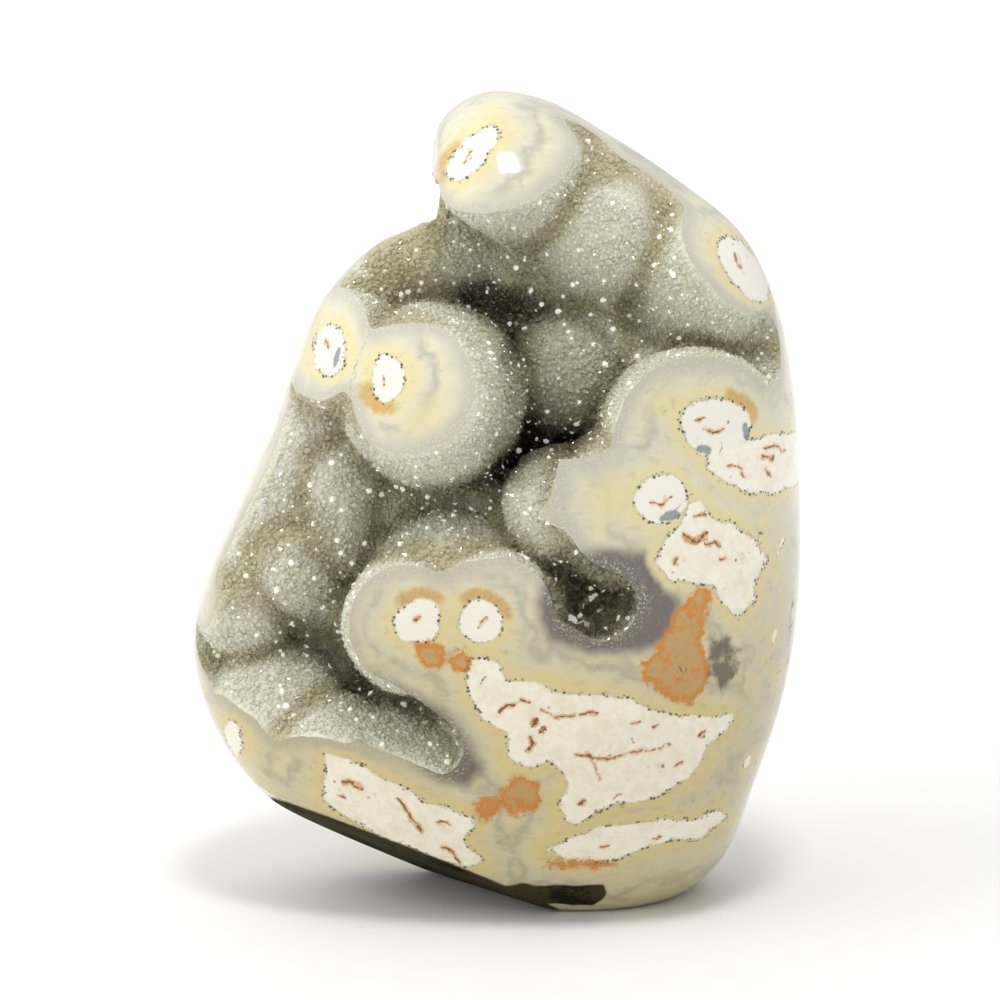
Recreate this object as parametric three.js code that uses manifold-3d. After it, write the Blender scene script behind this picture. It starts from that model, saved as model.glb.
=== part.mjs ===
// An orbicular agate freeform: a pebble-like polished stone, open at the upper left to a hollow
// full of rounded agate lobes, with a crust of fine quartz crystals over everything in the hollow.
// Where a lobe reaches the polished skin it is cut flush with it.
//
// Millimetres, +Z up. The stone's face looks along -Y, and it stands on a small flat foot at Z = 0
// with the origin near the middle of that foot.
import * as THREE from "three";
import { mergeVertices } from "three/addons/utils/BufferGeometryUtils.js";
import Module from "manifold-3d";

const wasm = await Module();
wasm.setup();

// Places are read on an upright picture plane through the middle of the stone: how far right and up
// of the foot a feature is seen, and how far it stands out of that plane towards the eye.
const EYE_DISTANCE = 560; // from the eye to the picture plane
const EYE_RIGHT = 0; // the eye's own place on that plane
const EYE_UP = 58;
const LOOKING_DOWN = THREE.MathUtils.degToRad(12); // the plane leans back by this much
const FOOT = { right: 8, up: 2, out: -10.2 }; // the point of the plane's frame that is the origin
const UPRIGHT = 0.14; // how much the stone leans out of the plane towards the eye, so that it stands

// The polished skin: its outline on the picture plane, and how far it bulges to the front and back.
const SKIN = { right: 1.5, up: 58, front: 30, back: 27, squareness: 2.2, detail: 7 };
const SKIN_OUTLINE = [
  [-3, 116], [6, 115.2], [14.5, 110.7], [25.5, 103.5], [34.5, 96], [39.5, 86], [42, 73],
  [42.8, 58], [42.5, 44], [40.5, 31], [36.5, 18.5], [31, 6], [20, -1], [8, -2.5],
  [-5, -0.5], [-16, 4.5], [-27.5, 11.5], [-35, 17.5], [-40.5, 25.5], [-43.6, 36], [-42.5, 45],
  [-38, 56], [-33, 67], [-29.5, 77], [-25.7, 86], [-18, 94.3], [-9.6, 98.8], [-10, 105.5], [-9.3, 111],
];

// The underside bevel at the lower left: one point of its plane, and the way it faces.
const BEVEL = { at: [-1, 2.5, 9], facing: new THREE.Vector3(-0.355, -0.34, -0.85) };

// The hollow, as overlapping balls scooped out of the stone. Each is [right, up, out, radius].
const HOLLOW = [
  [11, 108.5, 16.5, 8],
  [21, 101.5, 18.5, 8.5],
  [0, 98.5, 20, 10.7],
  [8.5, 88, 25, 15],
  [23, 89.5, 22, 13],
  [14.5, 101, 21, 11.4],
  [31.5, 80.5, 17, 7.5],
  [36.5, 80, 15, 6.5],
  [10, 74, 22, 11.4],
  [-5.5, 75, 22, 17],
  [-11.5, 91, 16, 13],
  [-15.5, 97.5, 0, 10.5],
  [-12.5, 100.5, 8, 5],
  [-13.5, 102.5, -8, 6.5],
  [-22.5, 91.5, -1, 9.5],
  [-23, 81, 16, 13],
  [-23, 64, 22, 14.3],
  [-31.5, 52.5, 19, 13.6],
  [-38, 41, 16, 12],
  [-30, 30.5, 16, 12.2],
  [-33, 25.2, 13, 8],
  [-21.5, 41, 24, 10.7],
  [-11.5, 52.5, 26, 12],
  [1.5, 62.5, 24, 8.6],
  [6.5, 65, 10, 6.5],
  [12.5, 45.5, 20, 5],
  [-13.5, 26.8, 17, 5],
];

// The hollow's two long branches, drawn from root to tip. Each end is [right, up, out].
const BRANCHES = [
  { name: "pocket beside the right face", root: [2.5, 54, 25], tip: [13.5, 44, 26], radius: 6.3 },
  { name: "slot above the lower lip", root: [-20, 31.5, 21], tip: [-10.5, 24.3, 22.5], radius: 6 },
];

// The lobes that fill the hollow, from root to tip. Each end is [right, up, out].
const LOBES = [
  { name: "crown thumb", root: [10, 101.5, 0], tip: [-1.5, 106.3, 18], radius: 9.2 },
  { name: "crown ball", root: [15, 96, 2], tip: [14.6, 96.4, 8.7], radius: 10 },
  { name: "crown slope", root: [13, 103, 6.5], tip: [25, 95.5, 7], radius: 7 },
  { name: "shoulder ball", root: [28, 90, 2], tip: [28.6, 90.4, 8.5], radius: 10.7 },
  { name: "ridge, right end", root: [3, 92, 1], tip: [-12, 91.5, 3.5], radius: 6.2 },
  { name: "ridge, left end", root: [-12, 91.5, 2], tip: [-21, 86.5, 3.5], radius: 6.2 },
  { name: "left eye", root: [-20, 79, 2], tip: [-23, 79.5, 13.5], radius: 8.8 },
  { name: "double eye, left", root: [-14, 75, 8], tip: [-15, 76, 22.5], radius: 7.4 },
  { name: "double eye, right", root: [-9, 73, 2], tip: [-9.6, 72.7, 16.9], radius: 12.9 },
  { name: "middle ball", root: [10, 76, -2], tip: [10, 76.4, 8], radius: 9 },
  { name: "upper right face", root: [28, 66, 2], tip: [27, 66.5, 20.5], radius: 13.2 },
  { name: "right knob", root: [10, 57, 8], tip: [8.6, 57.1, 20], radius: 8.5 },
  { name: "right face", root: [18, 57, 8], tip: [17.9, 57.1, 22], radius: 11 },
  { name: "owl eye, left", root: [-12, 40, 8], tip: [-12.6, 40.7, 24.5], radius: 9.7 },
  { name: "owl eye, right", root: [-1.5, 40, 8], tip: [-1.4, 41, 25], radius: 10.5 },
  { name: "owl brow", root: [-6, 43, 0], tip: [-6.4, 43.6, 15], radius: 13.6 },
  { name: "lower left ball", root: [-31, 27, -2], tip: [-31.6, 27.4, 5.5], radius: 11.1 },
  { name: "long wall", root: [-36.4, 47.1, 6.5], tip: [-25.4, 70, 7], radius: 6.5 },
  { name: "wall foot", root: [-36, 43, -1], tip: [-36.7, 42.6, 7], radius: 7.1 },
  { name: "wall ball", root: [-28, 48, -1], tip: [-28.6, 48.6, 9], radius: 7.4 },
  { name: "green finger", root: [-21.9, 53.3, 10.5], tip: [-21.9, 61, 11], radius: 5.9 },
  { name: "green finger's stem", root: [-21, 57, -2], tip: [-21.9, 57, 9], radius: 5.2 },
  { name: "small green ball", root: [-14, 57, -2], tip: [-14.6, 57.1, 10], radius: 5.3 },
  { name: "lower lip", root: [-22, 20, 13], tip: [-10, 15, 15], radius: 10.7 },
];

// The quartz crust: how thick it is, the joint left to the agate under it, and how far its
// crystals stand proud of the lobe that they grow on.
const CRUST = 1.6;
const JOINT = 0.3;
const CRYSTALS = 0.45;
const CRUMB_VOLUME = 20; // a loose scrap that the cuts leave, in cubic millimetres
const SMOOTHED = 0.15; // how far a facet may move where slivers are merged

// How finely a ball is faceted: it has 20 triangles for each square of one more than its detail.
const LOBE_RADIUS_PER_DETAIL = 7.5;
const HOLLOW_RADIUS_PER_DETAIL = 12;
const CORE_RADIUS_PER_DETAIL = 13;
const FACET_LOSS = 0.17; // a ball with flat facets is smaller than a round one, and this makes up for it
const SKIN_FACET_LOSS = 0.45; // the same for the skin
const OUTLINE_STEPS = 720; // points read along the skin's outline
const CAP_STEEPNESS = 1.6; // how soon a drawn-out ball's middle gives way to its round ends
const HALF_STUB = 0.01; // half the length of a ball that isn't drawn out
const BEYOND = 300; // the size of a block that is larger than the stone

// The place in the part's own frame of a point of the picture plane's frame.
function fromPlane(right, up, out) {
  const rise = up - FOOT.up;
  const depth = out - FOOT.out;
  return new THREE.Vector3(
    right - FOOT.right,
    rise * Math.sin(LOOKING_DOWN) - depth * Math.cos(LOOKING_DOWN),
    rise * Math.cos(LOOKING_DOWN) + depth * Math.sin(LOOKING_DOWN),
  );
}

// Moves a point on along its sight line to the eye, and gives its place in the part's own frame.
function towardsEye(right, up, out, further) {
  const nearer = 1 - further / EYE_DISTANCE;
  return fromPlane(EYE_RIGHT + (right - EYE_RIGHT) * nearer, EYE_UP + (up - EYE_UP) * nearer, out + further);
}

function leanAt(up) {
  return UPRIGHT * (up - EYE_UP);
}

// The place of a point that is seen at (right, up) and stands out of the leaning middle of the stone.
function seenAt([right, up, out]) {
  return towardsEye(right, up, 0, out + leanAt(up));
}

// A closed geometry as a solid that can be joined and cut.
function solid(geometry) {
  const bare = new THREE.BufferGeometry().setAttribute("position", geometry.getAttribute("position"));
  if (geometry.index) bare.setIndex(geometry.index);
  const merged = mergeVertices(bare, 1e-4);
  return new wasm.Manifold(new wasm.Mesh({
    numProp: 3,
    vertProperties: new Float32Array(merged.getAttribute("position").array),
    triVerts: new Uint32Array(merged.index.array),
  }));
}

// Moves each vertex of a geometry to where move(vertex) puts it.
function reshape(geometry, move) {
  const positions = geometry.getAttribute("position");
  const point = new THREE.Vector3();
  for (let i = 0; i < positions.count; i++) {
    point.fromBufferAttribute(positions, i);
    const moved = move(point);
    positions.setXYZ(i, moved.x, moved.y, moved.z);
  }
  return geometry;
}

// A repeatable number from -1 to 1 for a direction, which differs sharply from point to point.
function crystalHeight(direction, seed) {
  const mixed = Math.sin(
    Math.round(direction.x * 500) * 12.9898 +
    Math.round(direction.y * 500) * 78.233 +
    Math.round(direction.z * 500) * 37.719 + seed * 4.1,
  ) * 43758.5453;
  return 2 * (mixed - Math.floor(mixed)) - 1;
}

// A ball drawn out from root to tip. Grown makes it fatter or thinner, and crystals roughens it.
function lobeSolid(lobe, seed, grown, crystals, detail) {
  const root = seenAt(lobe.root);
  const tip = seenAt(lobe.tip);
  const middle = root.clone().add(tip).multiplyScalar(0.5);
  const half = tip.clone().sub(root).multiplyScalar(0.5);
  const axis = half.clone().normalize();
  return solid(reshape(new THREE.IcosahedronGeometry(1, detail), (point) => {
    const along = THREE.MathUtils.clamp(CAP_STEEPNESS * point.dot(axis), -1, 1);
    const round = (lobe.radius + grown) * (1 + FACET_LOSS / (detail + 1) ** 2);
    const radius = round + crystals * crystalHeight(point, seed);
    return point.clone().multiplyScalar(radius).addScaledVector(half, along).add(middle);
  }));
}

function joined(solids) {
  return wasm.Manifold.union(solids);
}

// The balls of one list joined. A fine one has rough crystals on it, and more facets for its size.
function cluster(balls, grown, fine, radiusPerDetail) {
  return joined(balls.map((ball, i) => {
    const detail = Math.round(ball.radius / (fine ? radiusPerDetail : CORE_RADIUS_PER_DETAIL));
    return lobeSolid(ball, i, grown, fine ? CRYSTALS : 0, detail);
  }));
}

function lobes(grown, fine = false) {
  return cluster(LOBES, grown, fine, LOBE_RADIUS_PER_DETAIL);
}

function hollow(grown, fine = false) {
  const balls = HOLLOW.map(([right, up, out, radius]) => (
    { root: [right, up, out - HALF_STUB], tip: [right, up, out + HALF_STUB], radius }));
  return cluster([...balls, ...BRANCHES], grown, fine, HOLLOW_RADIUS_PER_DETAIL);
}

// The outline's reach from the skin's middle, for any direction on the picture plane.
function outlineReach() {
  const curve = new THREE.CatmullRomCurve3(
    SKIN_OUTLINE.map(([right, up]) => new THREE.Vector3(right - SKIN.right, up - SKIN.up, 0)), true);
  const around = curve.getPoints(OUTLINE_STEPS).map((p) => ({ angle: Math.atan2(p.y, p.x), reach: p.length() }));
  around.sort((a, b) => a.angle - b.angle);
  return (angle) => {
    const after = around.findIndex((p) => p.angle >= angle);
    return around[after < 0 ? 0 : after].reach;
  };
}

// The whole polished form, with the foot and the bevel cut flat.
function skin() {
  const reach = outlineReach();
  const oversize = 1 + SKIN_FACET_LOSS / (SKIN.detail + 1) ** 2;
  const pebble = solid(reshape(new THREE.IcosahedronGeometry(1, SKIN.detail), (point) => {
    const across = Math.hypot(point.x, point.y);
    const bulge = point.z > 0 ? SKIN.front : SKIN.back;
    const level = (across ** SKIN.squareness + Math.abs(point.z) ** SKIN.squareness) ** (1 / SKIN.squareness);
    const swell = oversize / level;
    const scale = swell * reach(Math.atan2(point.y, point.x));
    const up = SKIN.up + point.y * scale;
    return towardsEye(SKIN.right + point.x * scale, up, point.z * swell * bulge, leanAt(up));
  }));
  return pebble.subtract(below(new THREE.Vector3(), new THREE.Vector3(0, 0, -1)))
    .subtract(below(seenAt(BEVEL.at), BEVEL.facing));
}

// A block that holds everything beyond a plane, on the side that facing points to.
function below(point, facing) {
  const block = new THREE.BoxGeometry(BEYOND, BEYOND, BEYOND).translate(0, 0, BEYOND / 2);
  const turn = new THREE.Quaternion().setFromUnitVectors(new THREE.Vector3(0, 0, 1), facing.clone().normalize());
  return solid(block.applyQuaternion(turn).translate(point.x, point.y, point.z));
}

// The largest body of a solid, without scraps, slivers or sealed voids.
function mainBody(whole) {
  const bodies = whole.simplify(SMOOTHED).decompose().sort((a, b) => b.volume() - a.volume());
  for (const scrap of bodies.slice(1)) {
    if (scrap.volume() > CRUMB_VOLUME) console.warn("dropped a body of", scrap.volume().toFixed(0), "mm3");
  }
  return bodies[0];
}

// The agate: the skin less the hollow, with the lobes' cores standing in it.
function agateBody(form) {
  const cores = lobes(-CRUST - JOINT);
  const wall = form.subtract(hollow(CRUST + JOINT));
  return mainBody(wall.add(cores.intersect(form)));
}

// The quartz: the outer layer of the lobes and of the hollow's wall, cut flush with the skin.
function quartzCrust(form) {
  const free = hollow(0, true).subtract(lobes(0, true));
  const lined = form.intersect(hollow(CRUST));
  return mainBody(lined.subtract(free).subtract(lobes(-CRUST)));
}

function mesh(name, body, material) {
  const { numProp, vertProperties, triVerts } = body.getMesh();
  const positions = new Float32Array((vertProperties.length / numProp) * 3);
  for (let i = 0; i < positions.length / 3; i++) {
    positions.set(vertProperties.subarray(i * numProp, i * numProp + 3), i * 3);
  }
  const geometry = new THREE.BufferGeometry();
  geometry.setAttribute("position", new THREE.BufferAttribute(positions, 3));
  geometry.setIndex(new THREE.BufferAttribute(triVerts, 1));
  geometry.computeVertexNormals();
  const made = new THREE.Mesh(geometry, material);
  made.name = name;
  return made;
}

const polishedAgate = new THREE.MeshStandardMaterial({ color: 0xe3dcc4, roughness: 0.15, metalness: 0 });
const drusyQuartz = new THREE.MeshStandardMaterial({ color: 0xa3a08c, roughness: 0.35, metalness: 0 });

const form = skin();
const freeform = new THREE.Group();
freeform.name = "agate_freeform";
freeform.add(mesh("agate_body", agateBody(form), polishedAgate));
freeform.add(mesh("quartz_crust", quartzCrust(form), drusyQuartz));

export default freeform;
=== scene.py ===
"""An orbicular agate freeform: a polished stone open to a druzy hollow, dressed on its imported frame.

Lengths are in millimetres until a mesh is finished, and then in metres. Places are read on an
upright picture plane through the middle of the stone, and markings in pixels of the photograph,
which is 1000 pixels square.
"""

from __future__ import annotations

import logging
import math
from dataclasses import dataclass
from enum import Enum
from typing import Sequence

import bmesh
import bpy
import numpy as np
from mathutils import Matrix, Vector, noise
from mathutils.bvhtree import BVHTree

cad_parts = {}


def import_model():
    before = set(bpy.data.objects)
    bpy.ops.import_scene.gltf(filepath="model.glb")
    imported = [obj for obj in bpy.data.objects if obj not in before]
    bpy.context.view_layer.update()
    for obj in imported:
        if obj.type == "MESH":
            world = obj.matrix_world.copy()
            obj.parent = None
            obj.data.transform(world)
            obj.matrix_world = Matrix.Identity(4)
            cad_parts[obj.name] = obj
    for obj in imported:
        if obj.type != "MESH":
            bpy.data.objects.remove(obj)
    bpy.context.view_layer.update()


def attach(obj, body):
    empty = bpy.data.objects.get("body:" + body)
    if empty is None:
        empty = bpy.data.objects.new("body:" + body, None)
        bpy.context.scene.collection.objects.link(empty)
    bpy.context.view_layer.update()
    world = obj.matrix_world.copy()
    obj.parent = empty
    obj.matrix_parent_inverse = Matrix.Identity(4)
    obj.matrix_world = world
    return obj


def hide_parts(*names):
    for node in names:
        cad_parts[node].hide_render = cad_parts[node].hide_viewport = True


log = logging.getLogger("agate_freeform")

MM = 0.001
SEED = 29

LEAST_LENGTH = 1e-6
CAP_STEEPNESS = 1.6
HALF_STUB = 0.01
FAR_PIXELS = 1e3


def smoothstep(values: np.ndarray, low: float, high: float) -> np.ndarray:
    """Rises smoothly from 0 where a value is low to 1 where it is high."""
    share = np.clip((values - low) / (high - low), 0.0, 1.0)
    return share * share * (3.0 - 2.0 * share)


@dataclass(frozen=True)
class PicturePlane:
    """The upright plane through the stone that its features are placed on."""

    eye_distance: float = 560.0
    eye_right: float = 0.0
    eye_up: float = 58.0
    looking_down: float = math.radians(12)
    foot_right: float = 8.0
    foot_up: float = 2.0
    foot_out: float = -10.2
    upright: float = 0.14
    pixels_per_mm: float = 7.0
    picture_width: float = 1000.0
    middle_column: float = 500.0
    ground_row: float = 906.0

    def place(self, right: np.ndarray, up: np.ndarray, out: np.ndarray) -> np.ndarray:
        """Gives points of the plane's frame in the part's own frame.

        Args:
            right: How far to the right each point is.
            up: How far up the plane.
            out: How far in front of it.

        Returns:
            The points as rows.
        """
        rise = up - self.foot_up
        depth = out - self.foot_out
        sine, cosine = math.sin(self.looking_down), math.cos(self.looking_down)
        behind = rise * sine - depth * cosine
        above = rise * cosine + depth * sine
        return np.stack([right - self.foot_right, behind, above], -1)

    def read(self, points: np.ndarray) -> tuple[np.ndarray, np.ndarray, np.ndarray]:
        """Reads points of the part's own frame in the plane's frame.

        Args:
            points: The points as rows.

        Returns:
            Right, up and out of each.
        """
        sine, cosine = math.sin(self.looking_down), math.cos(self.looking_down)
        rise = points[:, 1] * sine + points[:, 2] * cosine
        depth = points[:, 2] * sine - points[:, 1] * cosine
        return points[:, 0] + self.foot_right, rise + self.foot_up, depth + self.foot_out

    def towards_eye(
        self, right: np.ndarray, up: np.ndarray, out: np.ndarray, further: np.ndarray
    ) -> np.ndarray:
        """Moves points on along their sight lines.

        Args:
            right: How far to the right each point is.
            up: How far up the plane.
            out: How far in front of it.
            further: How much nearer to the viewer each point goes.

        Returns:
            The points as rows, in the part's own frame.
        """
        nearer = 1 - further / self.eye_distance
        return self.place(
            self.eye_right + (right - self.eye_right) * nearer,
            self.eye_up + (up - self.eye_up) * nearer,
            out + further,
        )

    def lean_at(self, up: np.ndarray) -> np.ndarray:
        """Says how far the stone's middle leans out of the plane."""
        return self.upright * (up - self.eye_up)

    def seen_at(self, point: Sequence[float]) -> np.ndarray:
        """Places one [right, up, out] on its sight line."""
        right, up, out = (np.float64(value) for value in point)
        return self.towards_eye(right, up, np.float64(0), out + self.lean_at(up))

    def pixels(self, points: np.ndarray) -> np.ndarray:
        """Gives the photograph's column and row of each point.

        Args:
            points: The points as rows, in the part's own frame.

        Returns:
            The columns and rows, as rows.
        """
        right, up, out = self.read(points)
        larger = self.eye_distance / (self.eye_distance - out)
        across = self.eye_right + (right - self.eye_right) * larger
        above = self.eye_up + (up - self.eye_up) * larger
        column = self.middle_column + self.pixels_per_mm * across
        return np.stack([column, self.ground_row - self.pixels_per_mm * above], -1)


PLANE = PicturePlane()


@dataclass(frozen=True)
class Ball:
    """A ball drawn out from root to tip, each of them [right, up, out]."""

    root: tuple[float, float, float]
    tip: tuple[float, float, float]
    radius: float

    def reshape(self, directions: np.ndarray) -> np.ndarray:
        """Gives the ball's surface in each direction.

        Args:
            directions: Unit vectors from the ball's middle.

        Returns:
            The surface's points.
        """
        root, tip = PLANE.seen_at(self.root), PLANE.seen_at(self.tip)
        half = (tip - root) / 2
        axis = half / max(float(np.linalg.norm(half)), LEAST_LENGTH)
        along = np.clip(CAP_STEEPNESS * directions @ axis, -1, 1)
        return directions * self.radius + along[:, None] * half + (root + tip) / 2

    def depth_under(self, points: np.ndarray) -> np.ndarray:
        """Gives how far inside the ball's surface each point is.

        Args:
            points: The points as rows.

        Returns:
            The depths, and less than 0 outside the ball.
        """
        root, tip = PLANE.seen_at(self.root), PLANE.seen_at(self.tip)
        line = tip - root
        share = np.clip((points - root) @ line / max(float(line @ line), LEAST_LENGTH), 0, 1)
        return self.radius - np.linalg.norm(points - root - share[:, None] * line, axis=1)


def scoop(right: float, up: float, out: float, radius: float) -> Ball:
    """Makes a round ball of the hollow."""
    return Ball((right, up, out - HALF_STUB), (right, up, out + HALF_STUB), radius)


HOLLOW = (
    scoop(11, 108.5, 16.5, 8),
    scoop(21, 101.5, 18.5, 8.5),
    scoop(0, 98.5, 20, 10.7),
    scoop(8.5, 88, 25, 15),
    scoop(23, 89.5, 22, 13),
    scoop(14.5, 101, 21, 11.4),
    scoop(31.5, 80.5, 17, 7.5),
    scoop(36.5, 80, 15, 6.5),
    scoop(10, 74, 22, 11.4),
    scoop(-5.5, 75, 22, 17),
    scoop(-11.5, 91, 16, 13),
    scoop(-15.5, 97.5, 0, 10.5),
    scoop(-12.5, 100.5, 8, 5),
    scoop(-13.5, 102.5, -8, 6.5),
    scoop(-22.5, 91.5, -1, 9.5),
    scoop(-23, 81, 16, 13),
    scoop(-23, 64, 22, 14.3),
    scoop(-31.5, 52.5, 19, 13.6),
    scoop(-38, 41, 16, 12),
    scoop(-30, 30.5, 16, 12.2),
    scoop(-33, 25.2, 13, 8),
    scoop(-21.5, 41, 24, 10.7),
    scoop(-11.5, 52.5, 26, 12),
    scoop(1.5, 62.5, 24, 8.6),
    scoop(6.5, 65, 10, 6.5),
    scoop(12.5, 45.5, 20, 5),
    scoop(-13.5, 26.8, 17, 5),
    Ball((2.5, 54, 25), (13.5, 44, 26), 6.3),
    Ball((-20, 31.5, 21), (-10.5, 24.3, 22.5), 6),
)

LOBES = {
    "crown thumb": Ball((10, 101.5, 0), (-1.5, 106.3, 18), 9.2),
    "crown ball": Ball((15, 96, 2), (14.6, 96.4, 8.7), 10),
    "crown slope": Ball((13, 103, 6.5), (25, 95.5, 7), 7),
    "shoulder ball": Ball((28, 90, 2), (28.6, 90.4, 8.5), 10.7),
    "ridge, right end": Ball((3, 92, 1), (-12, 91.5, 3.5), 6.2),
    "ridge, left end": Ball((-12, 91.5, 2), (-21, 86.5, 3.5), 6.2),
    "left eye": Ball((-20, 79, 2), (-23, 79.5, 13.5), 8.8),
    "double eye, left": Ball((-14, 75, 8), (-15, 76, 22.5), 7.4),
    "double eye, right": Ball((-9, 73, 2), (-9.6, 72.7, 16.9), 12.9),
    "middle ball": Ball((10, 76, -2), (10, 76.4, 8), 9),
    "upper right face": Ball((28, 66, 2), (27, 66.5, 20.5), 13.2),
    "right knob": Ball((10, 57, 8), (8.6, 57.1, 20), 8.5),
    "right face": Ball((18, 57, 8), (17.9, 57.1, 22), 11),
    "owl eye, left": Ball((-12, 40, 8), (-12.6, 40.7, 24.5), 9.7),
    "owl eye, right": Ball((-1.5, 40, 8), (-1.4, 41, 25), 10.5),
    "owl brow": Ball((-6, 43, 0), (-6.4, 43.6, 15), 13.6),
    "lower left ball": Ball((-31, 27, -2), (-31.6, 27.4, 5.5), 11.1),
    "long wall": Ball((-36.4, 47.1, 6.5), (-25.4, 70, 7), 6.5),
    "wall foot": Ball((-36, 43, -1), (-36.7, 42.6, 7), 7.1),
    "wall ball": Ball((-28, 48, -1), (-28.6, 48.6, 9), 7.4),
    "green finger": Ball((-21.9, 53.3, 10.5), (-21.9, 61, 11), 5.9),
    "green finger's stem": Ball((-21, 57, -2), (-21.9, 57, 9), 5.2),
    "small green ball": Ball((-14, 57, -2), (-14.6, 57.1, 10), 5.3),
    "lower lip": Ball((-22, 20, 13), (-10, 15, 15), 10.7),
}


@dataclass
class PolishedSkin:
    """The pebble-like form that the stone was polished to, before anything is open in it."""

    right: float = 1.5
    up: float = 58.0
    front: float = 30.0
    back: float = 27.0
    squareness: float = 2.2
    subdivisions: int = 7
    edge_round: float = 0.35
    lean_rounds: int = 3
    bevel_at: tuple[float, float, float] = (-1.0, 2.5, 9.0)
    bevel_facing: tuple[float, float, float] = (-0.355, -0.34, -0.85)
    outline: tuple[tuple[float, float], ...] = (
        (-3, 116), (6, 115.2), (14.5, 110.7), (25.5, 103.5), (34.5, 96), (39.5, 86), (42, 73),
        (42.8, 58), (42.5, 44), (40.5, 31), (36.5, 18.5), (31, 6), (20, -1), (8, -2.5),
        (-5, -0.5), (-16, 4.5), (-27.5, 11.5), (-35, 17.5), (-40.5, 25.5), (-43.6, 36), (-42.5, 45),
        (-38, 56), (-33, 67), (-29.5, 77), (-25.7, 86), (-18, 94.3), (-9.6, 98.8), (-10, 105.5), (-9.3, 111),
    )

    def __post_init__(self) -> None:
        """Works out the outline's reach once."""
        self.angles, self.reaches = self._outline_reach()

    def _outline_reach(
        self, steps: int = 30, samples: int = 720, softening: float = 1.3
    ) -> tuple[np.ndarray, np.ndarray]:
        """Runs a centripetal Catmull-Rom curve through the outline, and reads its reach by angle.

        Args:
            steps: Points between two points of the outline.
            samples: Angles that the reach is kept at.
            softening: How many degrees the polishing blurs the outline's corners by.

        Returns:
            The angles, and the reach at each.
        """
        points = np.array(self.outline) - (self.right, self.up)
        curve = []
        for i in range(len(points)):
            p0, p1, p2, p3 = (points[(i + k) % len(points)] for k in (-1, 0, 1, 2))
            gap0, gap1, gap2 = (math.sqrt(np.linalg.norm(b - a)) for a, b in ((p0, p1), (p1, p2), (p2, p3)))
            leave = ((p1 - p0) / gap0 - (p2 - p0) / (gap0 + gap1) + (p2 - p1) / gap1) * gap1
            arrive = ((p2 - p1) / gap1 - (p3 - p1) / (gap1 + gap2) + (p3 - p2) / gap2) * gap1
            for share in np.arange(steps) / steps:
                curve.append(
                    p1 + leave * share
                    + (3 * (p2 - p1) - 2 * leave - arrive) * share**2
                    + (2 * (p1 - p2) + leave + arrive) * share**3
                )
        curve = np.array(curve)
        angles = np.linspace(-math.pi, math.pi, samples, endpoint=False)
        found = np.arctan2(curve[:, 1], curve[:, 0])
        order = np.argsort(found)
        reaches = np.interp(angles, found[order], np.linalg.norm(curve, axis=1)[order], period=math.tau)
        offsets = np.degrees(angles)
        kernel = np.exp(-0.5 * (offsets / softening) ** 2)
        spectrum = np.fft.fft(reaches) * np.fft.fft(np.fft.ifftshift(kernel / kernel.sum()))
        return angles, np.real(np.fft.ifft(spectrum))

    def reach(self, angle: np.ndarray) -> np.ndarray:
        """Gives the outline's reach from the skin's middle."""
        return np.interp(angle, self.angles, self.reaches, period=math.tau)

    def reshape(self, directions: np.ndarray) -> np.ndarray:
        """Gives the skin in each direction, with the foot and the bevel ground flat.

        Args:
            directions: Unit vectors from the skin's middle: right, up and out.

        Returns:
            The skin's points in the part's own frame.
        """
        x, y, z = directions.T
        bulge = np.where(z > 0, self.front, self.back)
        swell = (np.hypot(x, y) ** self.squareness + np.abs(z) ** self.squareness) ** (-1 / self.squareness)
        scale = swell * self.reach(np.arctan2(y, x))
        up = self.up + y * scale
        points = PLANE.towards_eye(self.right + x * scale, up, z * swell * bulge, PLANE.lean_at(up))
        points = self._grind(points, np.zeros(3), np.array([0.0, 0.0, -1.0]))
        return self._grind(points, PLANE.seen_at(self.bevel_at), self._bevel_normal())

    def _grind(self, points: np.ndarray, at: np.ndarray, facing: np.ndarray) -> np.ndarray:
        """Brings what stands beyond a plane back to it, with a softly rounded edge.

        Args:
            points: The points as rows.
            at: A place on the plane.
            facing: The plane's unit normal, out of the stone.

        Returns:
            The points after grinding.
        """
        beyond = (points - at) @ facing / self.edge_round
        kept = -np.logaddexp(0.0, -beyond) * self.edge_round
        return points + (kept - beyond * self.edge_round)[:, None] * facing

    def above_bevel(self, points: np.ndarray) -> np.ndarray:
        """Gives how far each point is from the bevel's plane, inside the stone."""
        return (PLANE.seen_at(self.bevel_at) - points) @ self._bevel_normal()

    def _bevel_normal(self) -> np.ndarray:
        """Gives the bevel's unit normal, out of the stone."""
        return np.array(self.bevel_facing) / np.linalg.norm(self.bevel_facing)

    def level(self, points: np.ndarray) -> np.ndarray:
        """Says how far out each point is.

        Args:
            points: The points as rows, in the part's own frame.

        Returns:
            1 on the skin, and less inside it.
        """
        right, up, out = PLANE.read(points)
        rise = up - PLANE.eye_up
        true_rise = rise
        for _ in range(self.lean_rounds):
            true_rise = rise / (1 - PLANE.upright * true_rise / PLANE.eye_distance)
        lean = PLANE.upright * true_rise
        across = PLANE.eye_right + (right - PLANE.eye_right) / (1 - lean / PLANE.eye_distance) - self.right
        above = true_rise + PLANE.eye_up - self.up
        depth = out - lean
        outward = np.hypot(across, above) / self.reach(np.arctan2(above, across))
        forward = np.abs(depth) / np.where(depth > 0, self.front, self.back)
        return (outward**self.squareness + forward**self.squareness) ** (1 / self.squareness)


SKIN = PolishedSkin()


class Surface(Enum):
    """The two kinds of surface on the stone, by material index."""

    POLISHED = 0
    DRUZY = 1


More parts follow.
